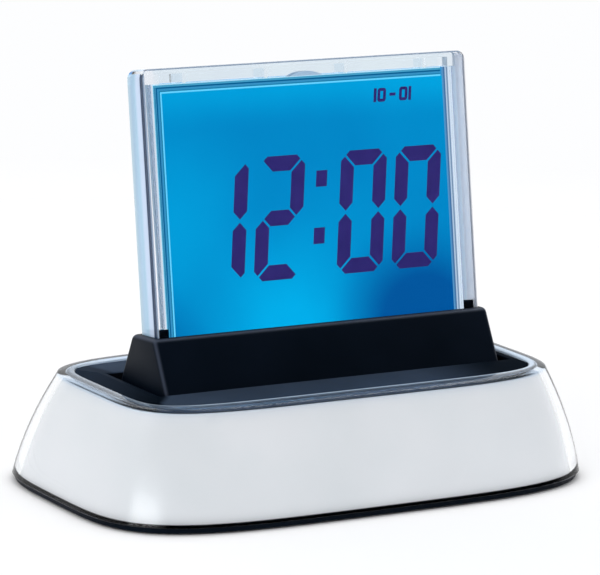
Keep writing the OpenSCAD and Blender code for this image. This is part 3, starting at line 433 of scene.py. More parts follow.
def lit_glass(name):
    finish, tree, shader = start_finish(name)
    u, v, _ = panel_axes(tree)
    value = spread(tree, v, 0.55, 0.83, 79, 89, smooth=True)
    for spot in ((-7, 34, 26, 30, 0.52), (-36, 60, 30, 30, 0.24), (27, 35, 26, 24, -0.85),
                 (-41, 33, 16, 18, -0.4), (8, 57, 26, 18, 0.1), (30, 80, 24, 24, 0.06)):
        value = sums(tree, value, glow(tree, *spot))
    value = sums(tree, value, spread(tree, noise(tree, 9, 2), -0.012, 0.012))
    blues = tones(tree, value, (0.0, shown(0, 84, 152)), (0.55, shown(0, 133, 192)),
                  (1.0, shown(0, 172, 226)))
    head_over_half = 53.1
    edge = sums(tree, sums(tree, u, 0, "ABSOLUTE"), sums(tree, v, head_over_half, "SUBTRACT"),
                "MAXIMUM")
    rim = tones(tree, spread(tree, edge, 0, 1, 35, 37), (0.0, shown(108, 213, 250)),
                (0.14, shown(26, 126, 168)), (0.27, shown(56, 142, 186)), (0.48, shown(4, 92, 138)),
                (0.64, shown(72, 156, 190)), (0.86, shown(190, 232, 248)),
                (0.98, shown(200, 211, 222)), steps=True)
    pale_rim = tones(tree, spread(tree, u, 0, 1, 34.6, 37.2), (0.0, shown(20, 142, 205)),
                     (0.22, shown(92, 146, 188)), (0.4, shown(52, 96, 146)),
                     (0.5, shown(196, 214, 230)), (0.66, shown(88, 116, 152)),
                     (0.78, shown(216, 226, 238)))
    rim = blend(tree, spread(tree, u, 0, 1, 34.6, 34.7), rim, pale_rim)
    tree.links.new(blend(tree, spread(tree, edge, 0, 1, 34.9, 35.0), blues, rim),
                   shader.inputs["Emission Color"])
    shader.inputs["Emission Strength"].default_value = 1.15
    shader.inputs["Base Color"].default_value = shown(4, 20, 40)
    shader.inputs["Roughness"].default_value = 0.3
    shader.inputs["Specular IOR Level"].default_value = 0.0
    return finish


finishes["lcd_blue"] = lit_glass("lit_glass")
print("display light has", len(finishes["lcd_blue"].node_tree.nodes), "nodes")

# %% [markdown]
# ## Clear case with painted light at its edges
# The display's case is the same clear plastic, but light that runs along inside its plates comes
# out at their edges, which look milky and faintly blue. Tracing that light would take very many
# bounces, so it is painted on the edge faces, which let less light through and glow faintly with it.
# A dark line runs down the left edge where the two halves of the case meet, and the right edge is paler.

# %% Case finish
def case_finish(name, half, head, glass_half):
    finish, tree, shader = start_finish(name)
    u, v, depth = panel_axes(tree)
    out = sums(tree, u, 0, "ABSOLUTE")
    side = spread(tree, out, 0, 1, half - 0.36, half - 0.3)
    edge = sums(tree, side, spread(tree, v, 0, 1, head - 0.36, head - 0.3), "MAXIMUM")
    front_to_back = spread(tree, depth, 1, 0, -6.3, 1.0)
    edge_light_and_seam = tones(tree, front_to_back, (0.0, shown(150, 168, 190)),
                    (0.04, shown(46, 62, 88)), (0.19, shown(40, 58, 86)),
                    (0.24, shown(196, 212, 236)), (0.42, shown(198, 216, 240)),
                    (0.56, shown(168, 204, 228)), (0.76, shown(176, 208, 234)),
                    (0.96, shown(200, 226, 240)))
    pale = tones(tree, front_to_back, (0.03, shown(240, 242, 246)), (0.12, shown(186, 196, 212)),
                 (0.2, shown(236, 239, 243)), (1.0, shown(232, 237, 242)))
    edge_light_and_seam = blend(tree, spread(tree, u, 0, 1, half - 1, half - 0.5), edge_light_and_seam, pale)
    cloud = noise(tree, flow_size, 2)
    clear_tone = drifting(tree, cloud, shown(238, 244, 249), shown(242, 248, 251))
    beside_glass = spread(tree, out, 0, 1, glass_half - 0.2, glass_half + 0.2)
    clear_tone = blend(tree, beside_glass, clear_tone, shown(249, 250, 253))
    tree.links.new(blend(tree, edge, clear_tone, edge_light_and_seam), shader.inputs["Base Color"])
    tree.links.new(spread(tree, edge, 1.0, 0.2), shader.inputs["Transmission Weight"])
    tree.links.new(spread(tree, edge, 0.01, 0.12), shader.inputs["Roughness"])
    # the edges glow faintly with their painted light
    tree.links.new(blend(tree, edge, shown(0, 0, 0), edge_light_and_seam), shader.inputs["Emission Color"])
    shader.inputs["Emission Strength"].default_value = 0.07
    shader.inputs["IOR"].default_value = 1.25
    relief(tree, shader, cloud, flow_depth, flow_strength)
    return finish


case_clear = case_finish("case_styrene", half=40.25, head=93.4, glass_half=37.5)
print("case finish has", len(case_clear.node_tree.nodes), "nodes")


# %% [markdown]
# ## Ink, light guide and lamps of the display
# The digits are dark violet because the lit glass shines through them a little. The light guide is
# a clear plate that carries blue light up the panel, so it glows at its edges. Both get a weak glow
# of their own tone, because light inside a plate is slow to trace.

# %% Ink, guide and lamps
def glowing(name, dark, light, gain, polish):
    finish, tree, shader = start_finish(name)
    cloud = noise(tree, 3, 2)
    tone = drifting(tree, cloud, dark, light)
    tree.links.new(tone, shader.inputs["Base Color"])
    tree.links.new(tone, shader.inputs["Emission Color"])
    tree.links.new(spread(tree, cloud, *polish), shader.inputs["Roughness"])
    shader.inputs["Emission Strength"].default_value = gain
    shader.inputs["Specular IOR Level"].default_value = 0.1
    return finish


def guide_finish(name):
    finish, tree, shader = start_finish(name)
    _, _, depth = panel_axes(tree)
    band = tones(tree, spread(tree, depth, 0, 1, -4.7, -2.0),
                 (0.0, shown(96, 190, 232)), (0.25, shown(10, 120, 196)), (0.6, shown(40, 160, 220)),
                 (0.85, shown(120, 214, 244)))
    tree.links.new(band, shader.inputs["Base Color"])
    tree.links.new(band, shader.inputs["Emission Color"])
    tree.links.new(spread(tree, noise(tree, 5, 2), 0.15, 0.3), shader.inputs["Roughness"])
    shader.inputs["Emission Strength"].default_value = 0.5
    return finish


finishes["lcd_ink"] = glowing("segment_ink", shown(42, 33, 96), shown(47, 37, 102), 0.75, (0.5, 0.6))
finishes["led_lens"] = glowing("lamp_lens", shown(214, 228, 250), shown(236, 243, 252), 0.5,
                               (0.15, 0.3))
finishes["light_guide"] = guide_finish("light_guide")
print("ink, guide and lamps made")


# %% [markdown]
# ## Board, ribbon and cells
# These sit inside the base. A circuit board is green lacquer over copper tracks, which a stepped
# pattern of cells lays out as lighter islands. A flat cable is a row of copper stripes under amber
# film. A cell has a plain jacket with a bare metal cap at each end, so its colour steps along its
# length.

# %% Inner finishes
def board_finish(name):
    finish, tree, shader = start_finish(name)
    cells = tree.nodes.new("ShaderNodeTexVoronoi")
    cells.distance = "CHEBYCHEV"
    cells.inputs["Scale"].default_value = 1.0
    tree.links.new(place(tree, size=(2.4 * mm, 1.6 * mm, 4 * mm)), cells.inputs["Vector"])
    tracks = tones(tree, cells.outputs["Distance"], (0.0, shown(22, 104, 62)),
                   (0.34, shown(16, 78, 48)), (0.4, shown(30, 122, 74)), steps=True)
    tree.links.new(tracks, shader.inputs["Base Color"])
    tree.links.new(spread(tree, noise(tree, 1.5), 0.25, 0.45), shader.inputs["Roughness"])
    relief(tree, shader, cells.outputs["Distance"], 0.02, 0.4)
    return finish


def ribbon_finish(name):
    finish, tree, shader = start_finish(name)
    stripes = tree.nodes.new("ShaderNodeTexWave")
    stripes.inputs["Scale"].default_value = 0.5
    tree.links.new(place(tree, size=(mm, mm, mm)), stripes.inputs["Vector"])
    tree.links.new(tones(tree, stripes.outputs["Fac"], (0.35, shown(150, 92, 30)),
                         (0.6, shown(206, 150, 84))), shader.inputs["Base Color"])
    tree.links.new(spread(tree, noise(tree, 2), 0.3, 0.5), shader.inputs["Roughness"])
    return finish


def cell_finish(name, half):
    finish, tree, shader = start_finish(name)
    x, _, _ = axes(tree, place(tree, size=(mm, mm, mm)))
    along = spread(tree, x, 0, 1, -half, half)
    cap, jacket, band = shown(186, 186, 182), shown(52, 58, 66), shown(176, 128, 48)
    bare, covered = (1, 1, 1, 1), (0, 0, 0, 1)
    tree.links.new(tones(tree, along, (0.0, cap), (0.05, jacket), (0.3, band), (0.36, jacket),
                         (0.95, cap), steps=True), shader.inputs["Base Color"])
    tree.links.new(tones(tree, along, (0.0, bare), (0.05, covered), (0.95, bare), steps=True),
                   shader.inputs["Metallic"])
    tree.links.new(spread(tree, noise(tree, 2), 0.25, 0.4), shader.inputs["Roughness"])
    return finish


finishes["board"] = board_finish("circuit_board")
finishes["ribbon"] = ribbon_finish("flat_cable")
finishes["cell_jacket"] = cell_finish("cell_jacket", half=23.5)
print("finishes in all", len(finishes))

# %% [markdown]
# ## Finishes on the solids
# Most solids already have the right shape and only need their finish. The record names a slot for
# each, so one loop dresses them all. A solid that gets a finer shape below is replaced there.

# %% Finishes on the solids
for part in frame["record"]["subparts"]:
    node = frame["nodes"][part["node"]]
    node.data.materials.clear()
    node.data.materials.append(finishes[part["material_slot"]])

# %% [markdown]
# ## From a bmesh to a piece
# Every new piece ends the same way: seams are merged, faces turned outwards, and the mesh becomes
# an object that rides on a body and stands for its solid. Smooth shading with sharp edges above an
# angle keeps rounded corners soft and moulded edges crisp. A piece that crosses from one body to
# another is given no body here.

# %% Helpers for pieces
weld = 0.001 * mm


def mesh_object(name, shape):
    bmesh.ops.remove_doubles(shape, verts=shape.verts, dist=weld)
    bmesh.ops.recalc_face_normals(shape, faces=shape.faces)
    mesh = bpy.data.meshes.new(name)
    shape.to_mesh(mesh)
    shape.free()
    made = bpy.data.objects.new(name, mesh)
    bpy.context.scene.collection.objects.link(made)
    return made


def dress(piece, body, node, slot, crease=32, finish=None):
    piece.data.shade_smooth()
    piece.data.set_sharp_from_angle(angle=radians(crease))
    piece.data.materials.clear()
    piece.data.materials.append(finish or finishes[slot])
    if body:
        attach(piece, body)
    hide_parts(node)
    size = ", ".join(f"{d / mm:.1f}" for d in piece.dimensions)
    print(piece.name, "is", size, "mm with", len(piece.data.polygons), "faces")


# %% [markdown]
# ## Clear cover
# The cover is one thin moulding that flares to the table, swells a little between its edges and
# turns over into a rim at the top. Its plan is a rounded rectangle whose corners tighten with
# height. Boxes with bevels would give round corners but flat walls, so the wall is drawn as rings:
# a circle is pulled out to a rounded rectangle at each level, and bridging ring to ring makes the
# skin. The rings go up the outside, over the rim and down the inside, and the last is bridged to
# the first.

# %% Rings of the base
skirt_z, shoulder_z = 1.5, 24.5
skirt_half, shoulder_half = Vector((60.65, 38.05)), Vector((52.6, 28.15))
skirt_corner, shoulder_corner, belly = 4.0, 4.7, 0.8


def edges_round(verts):
    return list({e for v in verts for e in v.link_edges})


def ring(shape, half, corner, z, middle=0.0):
    made = bmesh.ops.create_circle(shape, segments=288, radius=1.0)["verts"]
    for v in made:
        v.co = Vector((copysign(abs(v.co.x) ** (2 / corner), v.co.x) * half.x,
                       copysign(abs(v.co.y) ** (2 / corner), v.co.y) * half.y + middle, z)) * mm
    return edges_round(made)


def wall_half(z, inset):
    up = (z - skirt_z) / (shoulder_z - skirt_z)
    swell = 4 * belly * up * (1 - up) - inset
    return skirt_half.lerp(shoulder_half, up) + Vector((swell, swell)), up


def wall_ring(shape, z, inset):
    half, up = wall_half(z, inset)
    return ring(shape, half, skirt_corner + (shoulder_corner - skirt_corner) * up, z, -ahead * up)


def bridge(shape, rings, closed=True):
    for low, high in zip(rings, rings[1:] + rings[:1] if closed else rings[1:]):
        bmesh.ops.bridge_loops(shape, edges=low + high)


def levels(low, high, count=9):
    return [low + (high - low) * i / (count - 1) for i in range(count)]


def inset_half(half, inset):
    return half - Vector((inset, inset))


# %% Clear cover
cover_wall, foot_round = 1.8, 0.15
rim_rise, rim_turn, rim_under = 0.55, 1.9, 24.15
rim_top = shoulder_z + rim_rise
lip_profile = ((-0.45, 0.0), (-0.2, 0.06), (-0.06, 0.2), (0.0, 0.45))

cover = bmesh.new()
rings = [wall_ring(cover, z, 0) for z in levels(skirt_z + foot_round, shoulder_z)]
for step in (15, 30, 45, 60, 75, 90):
    turn_in = rim_turn * (1 - cos(radians(step)))
    rings.append(ring(cover, inset_half(shoulder_half, turn_in), shoulder_corner,
                      shoulder_z + rim_rise * sin(radians(step)), -ahead))
for inset, drop in lip_profile:
    rings.append(ring(cover, inset_half(opening_half, inset), opening_corner, rim_top - drop, -ahead))
rings.append(ring(cover, opening_half, opening_corner, rim_under, -ahead))
rings += [wall_ring(cover, z, cover_wall) for z in levels(rim_under, skirt_z)]
rings.append(wall_ring(cover, skirt_z, foot_round))
bridge(cover, rings)
dress(mesh_object("cover_shell", cover), "base", "clear_cover", "clear_plastic")

# %% [markdown]
# ## White liner
# The white that shows is a second, thinner skin just inside the clear one. It ends a little below
# the rim, with a ledge on its inner side that the deck's flange rests on. The same rings make it,
# set in by the cover's wall and a small gap. Two rings at one height can be bridged the wrong way
# round, right across the base, so a level face gets a slope too small to see.

# %% White liner
flange_top, liner_top, deck_under = 24.1, 23.55, 22.9
liner_wall, skin_gap = 1.6, 0.1
head_round, hem_round, step_z = 0.15, 0.1, 0.05
outside = cover_wall + skin_gap
ledge, inside = outside + liner_wall / 2, outside + liner_wall

liner = bmesh.new()
rings = [wall_ring(liner, z, outside) for z in levels(skirt_z + hem_round, liner_top - head_round)]
rings.append(wall_ring(liner, liner_top, outside + head_round))
rings += [wall_ring(liner, z, ledge) for z in (liner_top - step_z, deck_under)]
rings += [wall_ring(liner, z, inside) for z in levels(deck_under - step_z, skirt_z + step_z)]
rings.append(wall_ring(liner, skirt_z, outside + hem_round))
bridge(liner, rings)
dress(mesh_object("liner_skin", liner), "base", "white_liner", "white_plastic")

# %% [markdown]
# ## Deck
# The black deck closes the base and rises from the rim to the cradle's slot in four flat slopes
# with crisp hips. A loft from rim to slot would twist at the corners, so a plug of the rim's plan is
# cut by four leaning planes, and each cut is filled.

# %% Deck plug
deck_fit, ledge_rest, spare = 0.15, 23.65, 0.5
deck_edge, deck_top = 24.5, 25.7
neck_half = inset_half(opening_half, deck_fit)

deck = bmesh.new()
neck = []
for inset, low, high in ((ledge, deck_under, ledge_rest),
                         (cover_wall, ledge_rest + step_z, flange_top)):
    half, up = wall_half(flange_top, inset + deck_fit)
    neck += [ring(deck, half, shoulder_corner, z, -ahead * up) for z in (low, high)]
neck += [ring(deck, neck_half, opening_corner, z, -ahead)
         for z in (flange_top + step_z, deck_top + spare)]
bridge(deck, neck, closed=False)
bmesh.ops.contextual_create(deck, geom=neck[-1])
print("deck plug has", len(deck.faces), "faces")

# %% Deck slopes
cradle_low, cradle_high = [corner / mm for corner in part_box("cradle")]
slot_side, slot_front, slot_rear, slot_land = 2.0, 0.8, 2.4, 1.3
slot_low = Vector((cradle_low.x - slot_side, cradle_low.y - slot_front))
slot_high = Vector((cradle_high.x + slot_side, cradle_high.y + slot_rear))


def everything(shape):
    return shape.verts[:] + shape.edges[:] + shape.faces[:]


def edges_of(parts):
    return [part for part in parts if isinstance(part, bmesh.types.BMEdge)]


def slice_off(shape, point, normal):
    cut = bmesh.ops.bisect_plane(shape, geom=everything(shape), plane_co=Vector(point) * mm,
                                 plane_no=normal, clear_outer=True)["geom_cut"]
    bmesh.ops.holes_fill(shape, edges=edges_of(cut))


crown = deck_top - deck_edge
slice_off(deck, (0, 0, deck_top), (0, 0, 1))
for edge, land, side in ((-neck_half.y - ahead, slot_low.y - slot_land, "y"),
                         (neck_half.y - ahead, slot_high.y + slot_land, "y"),
                         (-neck_half.x, slot_low.x - slot_land, "x"),
                         (neck_half.x, slot_high.x + slot_land, "x")):
    run = land - edge
    slope = Vector((0, -crown, run)) if side == "y" else Vector((-crown, 0, run))
    point = (0, edge, deck_edge) if side == "y" else (edge, 0, deck_edge)
    slice_off(deck, point, slope if run > 0 else -slope)
print("with its slopes", len(deck.faces), "faces")

# %% [markdown]
# ## Slot and posts of the deck
# The flat that is left on top is inset to the slot's outline. Its middle is taken out and the
# edge drawn down to the underside, which is then filled between that edge and the plug's lowest ring,
# so the slot is open right through. The slot's upper edge gets a small bevel, and four tubes below
# take the screws.

# %% Slot and posts of the deck
slot_round = 0.3
post_in, post_low, post_root, post_radius, post_bore = Vector((7.7, 5.5)), 2.4, 0.4, 2.6, 1.3


def verts_of(parts):
    return [part for part in parts if isinstance(part, bmesh.types.BMVert)]


def round_off(shape, parts, by, segments, affect="EDGES", clamp=False):
    bmesh.ops.bevel(shape, geom=parts, offset=by, offset_type="OFFSET", affect=affect,
                    segments=segments, profile=0.5, material=-1, clamp_overlap=clamp)


def tube(shape, x, y, low, high, outer, inner):
    rings = []
    for radius, z in ((outer, low), (outer, high), (inner, high), (inner, low)):
        made = bmesh.ops.create_circle(shape, segments=40, radius=radius * mm,
                                       matrix=Matrix.Translation(Vector((x, y, z)) * mm))["verts"]
        rings.append(edges_round(made))
    bridge(shape, rings)


flat = max(deck.faces, key=lambda face: face.calc_center_median().z)
bmesh.ops.inset_region(deck, faces=[flat], thickness=slot_land * mm, use_even_offset=True)
slot_edges = list(flat.edges)
bmesh.ops.delete(deck, geom=[flat], context="FACES_ONLY")
sunk = bmesh.ops.extrude_edge_only(deck, edges=slot_edges)["geom"]
for vert in verts_of(sunk):
    vert.co.z = deck_under * mm
slot_foot = [edge for edge in edges_of(sunk)
             if abs(edge.verts[0].co.z - edge.verts[1].co.z) < step_z * mm]
bmesh.ops.triangle_fill(deck, edges=slot_foot + neck[0], normal=(0, 0, -1), use_beauty=True)
round_off(deck, slot_edges, slot_round * mm, 3)

for sx in (-1, 1):
    for sy in (-1, 1):
        tube(deck, sx * (opening_half.x - post_in.x),
             sy * (opening_half.y - post_in.y + ahead / 2) - ahead / 2,
             post_low, deck_under + post_root, post_radius, post_bore)
dress(mesh_object("deck_plate", deck), "base", "deck", "black_gloss", 12)

# %% [markdown]
# ## Cradle
# The cradle is a black block with a leaning front, drawn out sideways from one end section. Its
# edges are rounded by more than a millimetre. The display stands in a slot that leans with the
# panel, and the block is hollow below. A leaning slot isn't in line with any face of the block, so it
# is cut with a Boolean after the bevel.

# %% Cradle block
knee, front_lean, rear_lean, rear_fall = deck_top - 0.6, 6.0, 5.1, 0.7
fillet, above_deck, above_foot = 1.1, 25.5, 0.5


def draw(shape, faces, by):
    grown = bmesh.ops.extrude_face_region(shape, geom=faces)["geom"]
    bmesh.ops.translate(shape, vec=by, verts=verts_of(grown))


def draw_out(shape, section, half):
    end = shape.faces.new([shape.verts.new(Vector((-half, y, z)) * mm) for y, z in section])
    draw(shape, [end], Vector((2 * half * mm, 0, 0)))


def cradle_section(inset, low, top, rear_top):
    front, rear, span = cradle_low.y + inset, cradle_high.y - inset, cradle_high.z - knee
    return [(front, low), (front, knee), (front + front_lean * (top - knee) / span, top),
            (rear - rear_lean * (rear_top - knee) / span, rear_top), (rear, knee), (rear, low)]


section = cradle_section(0, cradle_low.z, cradle_high.z, cradle_high.z - rear_fall)
cradle = bmesh.new()
draw_out(cradle, section, cradle_high.x)
rounded = []
for edge in cradle.edges:
    middle = (edge.verts[0].co + edge.verts[1].co) / 2 / mm
    lengthwise = abs(edge.verts[0].co.x - edge.verts[1].co.x) > mm
    if middle.z > (above_deck if lengthwise else cradle_low.z + above_foot):
        rounded.append(edge)
round_off(cradle, rounded, fillet * mm, 6, clamp=True)
cradle = mesh_object("cradle_block", cradle)
print("cradle block has", len(cradle.data.polygons), "faces")

# %% Hollow and slot of the cradle
cradle_wall, hollow_half = 1.5, 40.45
roof = cradle_high.z - rear_fall - cradle_wall
panel_slot_low, panel_slot_high = Vector((-40.35, 26.5, -6.4)), Vector((40.35, 50, 1.1))


def cut_away(piece, shape):
    cutter = mesh_object("cutter", shape)
    cut = piece.modifiers.new("cut", "BOOLEAN")
    cut.operation = "DIFFERENCE"
    cut.solver = "EXACT"
    cut.object = cutter
    seen = piece.evaluated_get(bpy.context.evaluated_depsgraph_get())
    whole = piece.data
    piece.data = bpy.data.meshes.new_from_object(seen)
    piece.modifiers.clear()
    bpy.data.meshes.remove(whole)
    bpy.data.objects.remove(cutter)


def cut_block(piece, low, high):
    shape = bmesh.new()
    size = Matrix.Diagonal((*(high - low), 1))
    bmesh.ops.create_cube(shape, size=1, matrix=onto_panel @ Matrix.Scale(mm, 4)
                          @ Matrix.Translation((low + high) / 2) @ size)
    cut_away(piece, shape)


hollow = bmesh.new()
draw_out(hollow, cradle_section(cradle_wall, cradle_low.z - 1, roof, roof), hollow_half)
cut_away(cradle, hollow)
cut_block(cradle, panel_slot_low, panel_slot_high)
print("hollowed", len(cradle.data.polygons), "faces")

# %% [markdown]
# ## Painted highlights on the cradle's fillets
# The rounded edges catch a pale line of light wherever they turn. Lamps could draw it, but only where
# they happen to stand, so the line is toned in. Each flat face of the unrounded block is a plane. A
# place on a flat face lies on its plane, and a place on a fillet lies a little under all of them, so
# the least depth under any plane is nought on the faces and grows on the fillets alone.

# %% Painted highlights on the cradle's fillets
def fillet_light(finish, section, half, colour):
    tree = finish.node_tree
    x, y, z = axes(tree, place(tree, size=(mm, mm, mm)))
    under = sums(tree, half, sums(tree, x, 0, "ABSOLUTE"), "SUBTRACT")
    for (y0, z0), (y1, z1) in zip(section, section[1:]):
        length = hypot(y1 - y0, z1 - z0)
        run, rise = (y1 - y0) / length, (z1 - z0) / length
        face = sums(tree, sums(tree, sums(tree, y, y0, "SUBTRACT"), rise, "MULTIPLY"),
                    sums(tree, sums(tree, z, z0, "SUBTRACT"), run, "MULTIPLY"), "SUBTRACT")
        under = sums(tree, under, face, "MINIMUM")
    # painted highlight on the fillets
    paint_over(tree, spread(tree, under, 0, 1, 0.02, 0.24), colour)


cradle_black = finishes["black_satin"].copy()
cradle_black.name = "cradle_black"
fillet_light(cradle_black, section, cradle_high.x, shown(50, 56, 69))
dress(cradle, "display", "cradle", "black_satin", 24, cradle_black)

# %% [markdown]
# ## Clear case of the display
# The case is a flat front window glued to a deeper rear shell, both clear, with small rounded upper
# corners. A plate starts as one square of a grid, stretched to size, with its two top corners
# bevelled as vertices. Drawing that face back gives the plate its thickness, and a fine bevel on
# every edge gives the bright lines that show where clear plastic ends.

# %% Plates of the case
case_corner, window_round, shell_round, glue_gap = 2.0, 0.22, 0.3, 0.04


def panel_box(node):
    flat = [onto_panel.inverted() @ v.co / mm for v in frame["nodes"][node].data.vertices]
    return (Vector([min(p[i] for p in flat) for i in range(3)]),
            Vector([max(p[i] for p in flat) for i in range(3)]))


def plate(low, high, corner, edge):
    shape = bmesh.new()
    square = bmesh.ops.create_grid(shape, x_segments=1, y_segments=1, size=0.5,
                                   matrix=Matrix.Translation((low + high) / 2)
                                   @ Matrix.Diagonal((high.x - low.x, high.y - low.y, 1, 1)))
    bmesh.ops.translate(shape, vec=(0, 0, (high.z - low.z) / 2), verts=shape.verts)
    tops = [v for v in square["verts"] if v.co.y > (low.y + high.y) / 2]
    round_off(shape, tops, corner, 8, affect="VERTICES")
    draw(shape, shape.faces[:], (0, 0, low.z - high.z))
    around = [e for e in shape.edges if abs(e.verts[0].co.z - e.verts[1].co.z) < 0.01]
    round_off(shape, around, edge, 3)
    bmesh.ops.transform(shape, matrix=onto_panel @ Matrix.Scale(mm, 4), verts=shape.verts)
    return shape


window_low, window_high = panel_box("front_window")
shell_low, shell_high = panel_box("rear_shell")
window_low.z += glue_gap
dress(mesh_object("window_plate", plate(window_low, window_high, case_corner, window_round)),
      "display", "front_window", "clear_plastic", finish=case_clear)

# %% [markdown]
# ## Hollow of the shell
# The rear shell is hollowed for the glass, wider at its foot where the black corner blocks hold it,
# and four short ribs are left at the head. A cutter whose face lies in the face of an earlier cut
# can leave slivers, so the wider cut at the foot stops a twentieth of a millimetre short.

# %% Hollow of the shell
cavity_half, cavity_back = 38.05, -5.1
notch_half, notch_back, notch_top = 39.65, -5.05, 38.3
ribs, rib_wall, pocket_half, head_wall = (-30, -10, 10, 30), 0.8, 36.05, 1.25
below, past_front, head_gap, overlap = shell_low.y - 1, 1, 0.1, 0.5
glass_head = panel_box("lcd_front_glass")[1].y

shell = mesh_object("shell_case", plate(shell_low, shell_high, case_corner, shell_round))
cut_block(shell, Vector((-cavity_half, below, cavity_back)),
          Vector((cavity_half, glass_head + head_gap, past_front)))
cut_block(shell, Vector((-notch_half, below, notch_back)), Vector((notch_half, notch_top, past_front)))
lefts = [-pocket_half] + [rib + rib_wall / 2 for rib in ribs]
rights = [rib - rib_wall / 2 for rib in ribs] + [pocket_half]
for left, right in zip(lefts, rights):
    cut_block(shell, Vector((left, glass_head - overlap, cavity_back)),
              Vector((right, shell_high.y - head_wall, past_front)))
dress(shell, "display", "rear_shell", "clear_plastic", finish=case_clear)

# %% [markdown]
# ## Return springs
# Two coil springs under the cradle lift it after a press. A coil is one small circle of wire spun
# about the spring's axis while it climbs. The springs stand on the base.

# %% Return springs
wire, turns, turn_steps, press = 0.6, 4.5, 32, 1.0
for side in ("left", "right"):
    low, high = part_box("return_spring_" + side)
    middle, steps = (low + high) / 2, round(turn_steps * turns)
    coil = bmesh.new()
    start = Vector((high.x - wire / 2 * mm, middle.y, low.z + wire / 2 * mm))
    bmesh.ops.create_circle(coil, cap_ends=True, segments=12, radius=wire / 2 * mm,
                            matrix=Matrix.Translation(start) @ Matrix.Rotation(radians(90), 4, "X"))
    climb = (high.z - low.z - wire * mm) / steps
    bmesh.ops.spin(coil, geom=everything(coil), cent=middle, axis=(0, 0, 1),
                   dvec=(0, 0, climb), angle=radians(360 * turns), steps=steps)
    spring = mesh_object("coil_" + side, coil)
    dress(spring, "base", "return_spring_" + side, "screw_steel")
    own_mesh(spring)

# %% [markdown]
# ## Flat cable
# The flat cable joins the display to a socket on the board. Its lower end stays in the socket when
# the display is pressed, so it has to bend. The solid's own mesh is cut into short lengths.

# %% Flat cable
socket_clear, bend_high = 0.4, 22.5
bend_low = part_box("ribbon_socket")[1].z / mm + socket_clear
cable = bmesh.new()
cable.from_mesh(frame["nodes"]["display_ribbon"].data)
bmesh.ops.remove_doubles(cable, verts=cable.verts, dist=weld)
for z in levels(bend_low, bend_high):
    bmesh.ops.bisect_plane(cable, geom=everything(cable), plane_co=(0, 0, z * mm), plane_no=(0, 0, 1))
cable = mesh_object("flat_cable", cable)
dress(cable, None, "display_ribbon", "ribbon")
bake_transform(cable)

# %% [markdown]
# ## Digits
# The digits are thin prints between the two glasses. Each segment is one square of a grid,
# stretched to a bar and trimmed by leaning planes, so that neighbours meet at a mitre with a narrow
# gap. The digits are drawn flat and leaned a little to the right. A lit segment is named by the side
# and the end it stands at, or by its level: bottom, middle or top.

# %% Segments
half_wide, half_high, stroke, gap, blunt = 5.8, 13.3, 3.3, 0.5, 0.9


def bar(shape, at, wide, high, *cuts):
    verts = bmesh.ops.create_grid(shape, x_segments=1, y_segments=1, size=0.5,
                                  matrix=Matrix.Translation((*at, 0))
                                  @ Matrix.Diagonal((wide, high, 1, 1)))["verts"]
    kept = verts + edges_round(verts) + list({f for v in verts for f in v.link_faces})
    for x, y, facing in cuts:
        normal = Vector((cos(radians(facing)), sin(radians(facing)), 0))
        kept = bmesh.ops.bisect_plane(shape, geom=kept, plane_co=Vector((x, y, 0)) - normal * gap / 2,
                                      plane_no=normal, clear_outer=True)["geom"]


def digit(shape, middle, lit):
    inner = half_wide - stroke / 2
    for side in (-1, 1):
        away = 0 if side > 0 else 180
        for end in (-1, 1):
            if (side, end) in lit:
                turned = side * end
                bar(shape, (middle + side * inner, end * half_high / 2), stroke, half_high,
                    (middle + side * half_wide, end * half_high, away + 135 * turned),
                    (middle + side * (half_wide - blunt), end * (half_high - blunt), away + 45 * turned),
                    (middle + side * inner, 0, away - 45 * turned),
                    (middle + side * inner, 0, away - 135 * turned))
    for height in (-1, 0, 1):
        if height in lit:
            tip = half_wide if height else inner
            cuts = []
            for side in (-1, 1):
                away = 0 if side > 0 else 180
                for facing in ((-45, 45) if not height else (-45 * height,)):
                    cuts.append((middle + side * tip, height * half_high, away + facing * side))
                if height:
                    cuts.append((middle + side * (tip - blunt), height * (half_high - blunt),
                                 away + 45 * height * side))
            bar(shape, (middle, height * (half_high - stroke / 2)), 2 * tip, stroke, *cuts)


# %% Digits
one = [(1, -1), (1, 1)]
two = [(1, 1), (-1, -1), -1, 0, 1]
nought = one + [(-1, -1), (-1, 1), -1, 1]
digits_u = ((-21.95, one), (-8.0, two), (12.65, nought), (26.6, nought))
colon_u, dots_v, dot_wide, dot_high = 2.1, (-4.55, 7.75), 2.7, 3.5
digits_v, slant = 59.8, 0.112

ink = bmesh.new()
for middle, lit in digits_u:
    digit(ink, middle, lit)
for v in dots_v:
    bar(ink, (colon_u, v), dot_wide, dot_high)
slanted = Matrix.Identity(4)
slanted[0][1] = slant
bmesh.ops.transform(ink, matrix=Matrix.Translation((0, digits_v, 0)) @ slanted, verts=ink.verts)
print("ink", len(ink.faces), "segments")

# %% [markdown]
# ## Calendar digits
# The small calendar digits above are plain unbroken shapes: bars for the ones and the dash, and for
# each nought a bar with rounded corners whose middle is inset and taken out.

# %% Calendar digits
thin, tall, dash_wide, nought_wide, nought_round = 0.66, 3.0, 1.5, 2.1, 0.6
one_u, nought_u, date_at = 4.44, 2.76, (22.03, 84.7, 0)

date = bmesh.new()
bar(date, (0, 0), dash_wide, thin)
for side in (-1, 1):
    bar(date, (side * one_u, 0), thin, tall)
    bar(date, (side * nought_u, 0), nought_wide, tall)
noughts = [f for f in date.faces if f.calc_area() > thin * tall * 2]
corners = list({v for f in noughts for v in f.verts})
round_off(date, corners, nought_round, 4, affect="VERTICES")
noughts = [f for f in date.faces if len(f.verts) > 4]
bmesh.ops.inset_individual(date, faces=noughts, thickness=thin, use_even_offset=True)
bmesh.ops.delete(date, geom=noughts, context="FACES")
bmesh.ops.transform(date, matrix=Matrix.Translation(date_at) @ slanted, verts=date.verts)
print("calendar", len(date.faces), "faces")

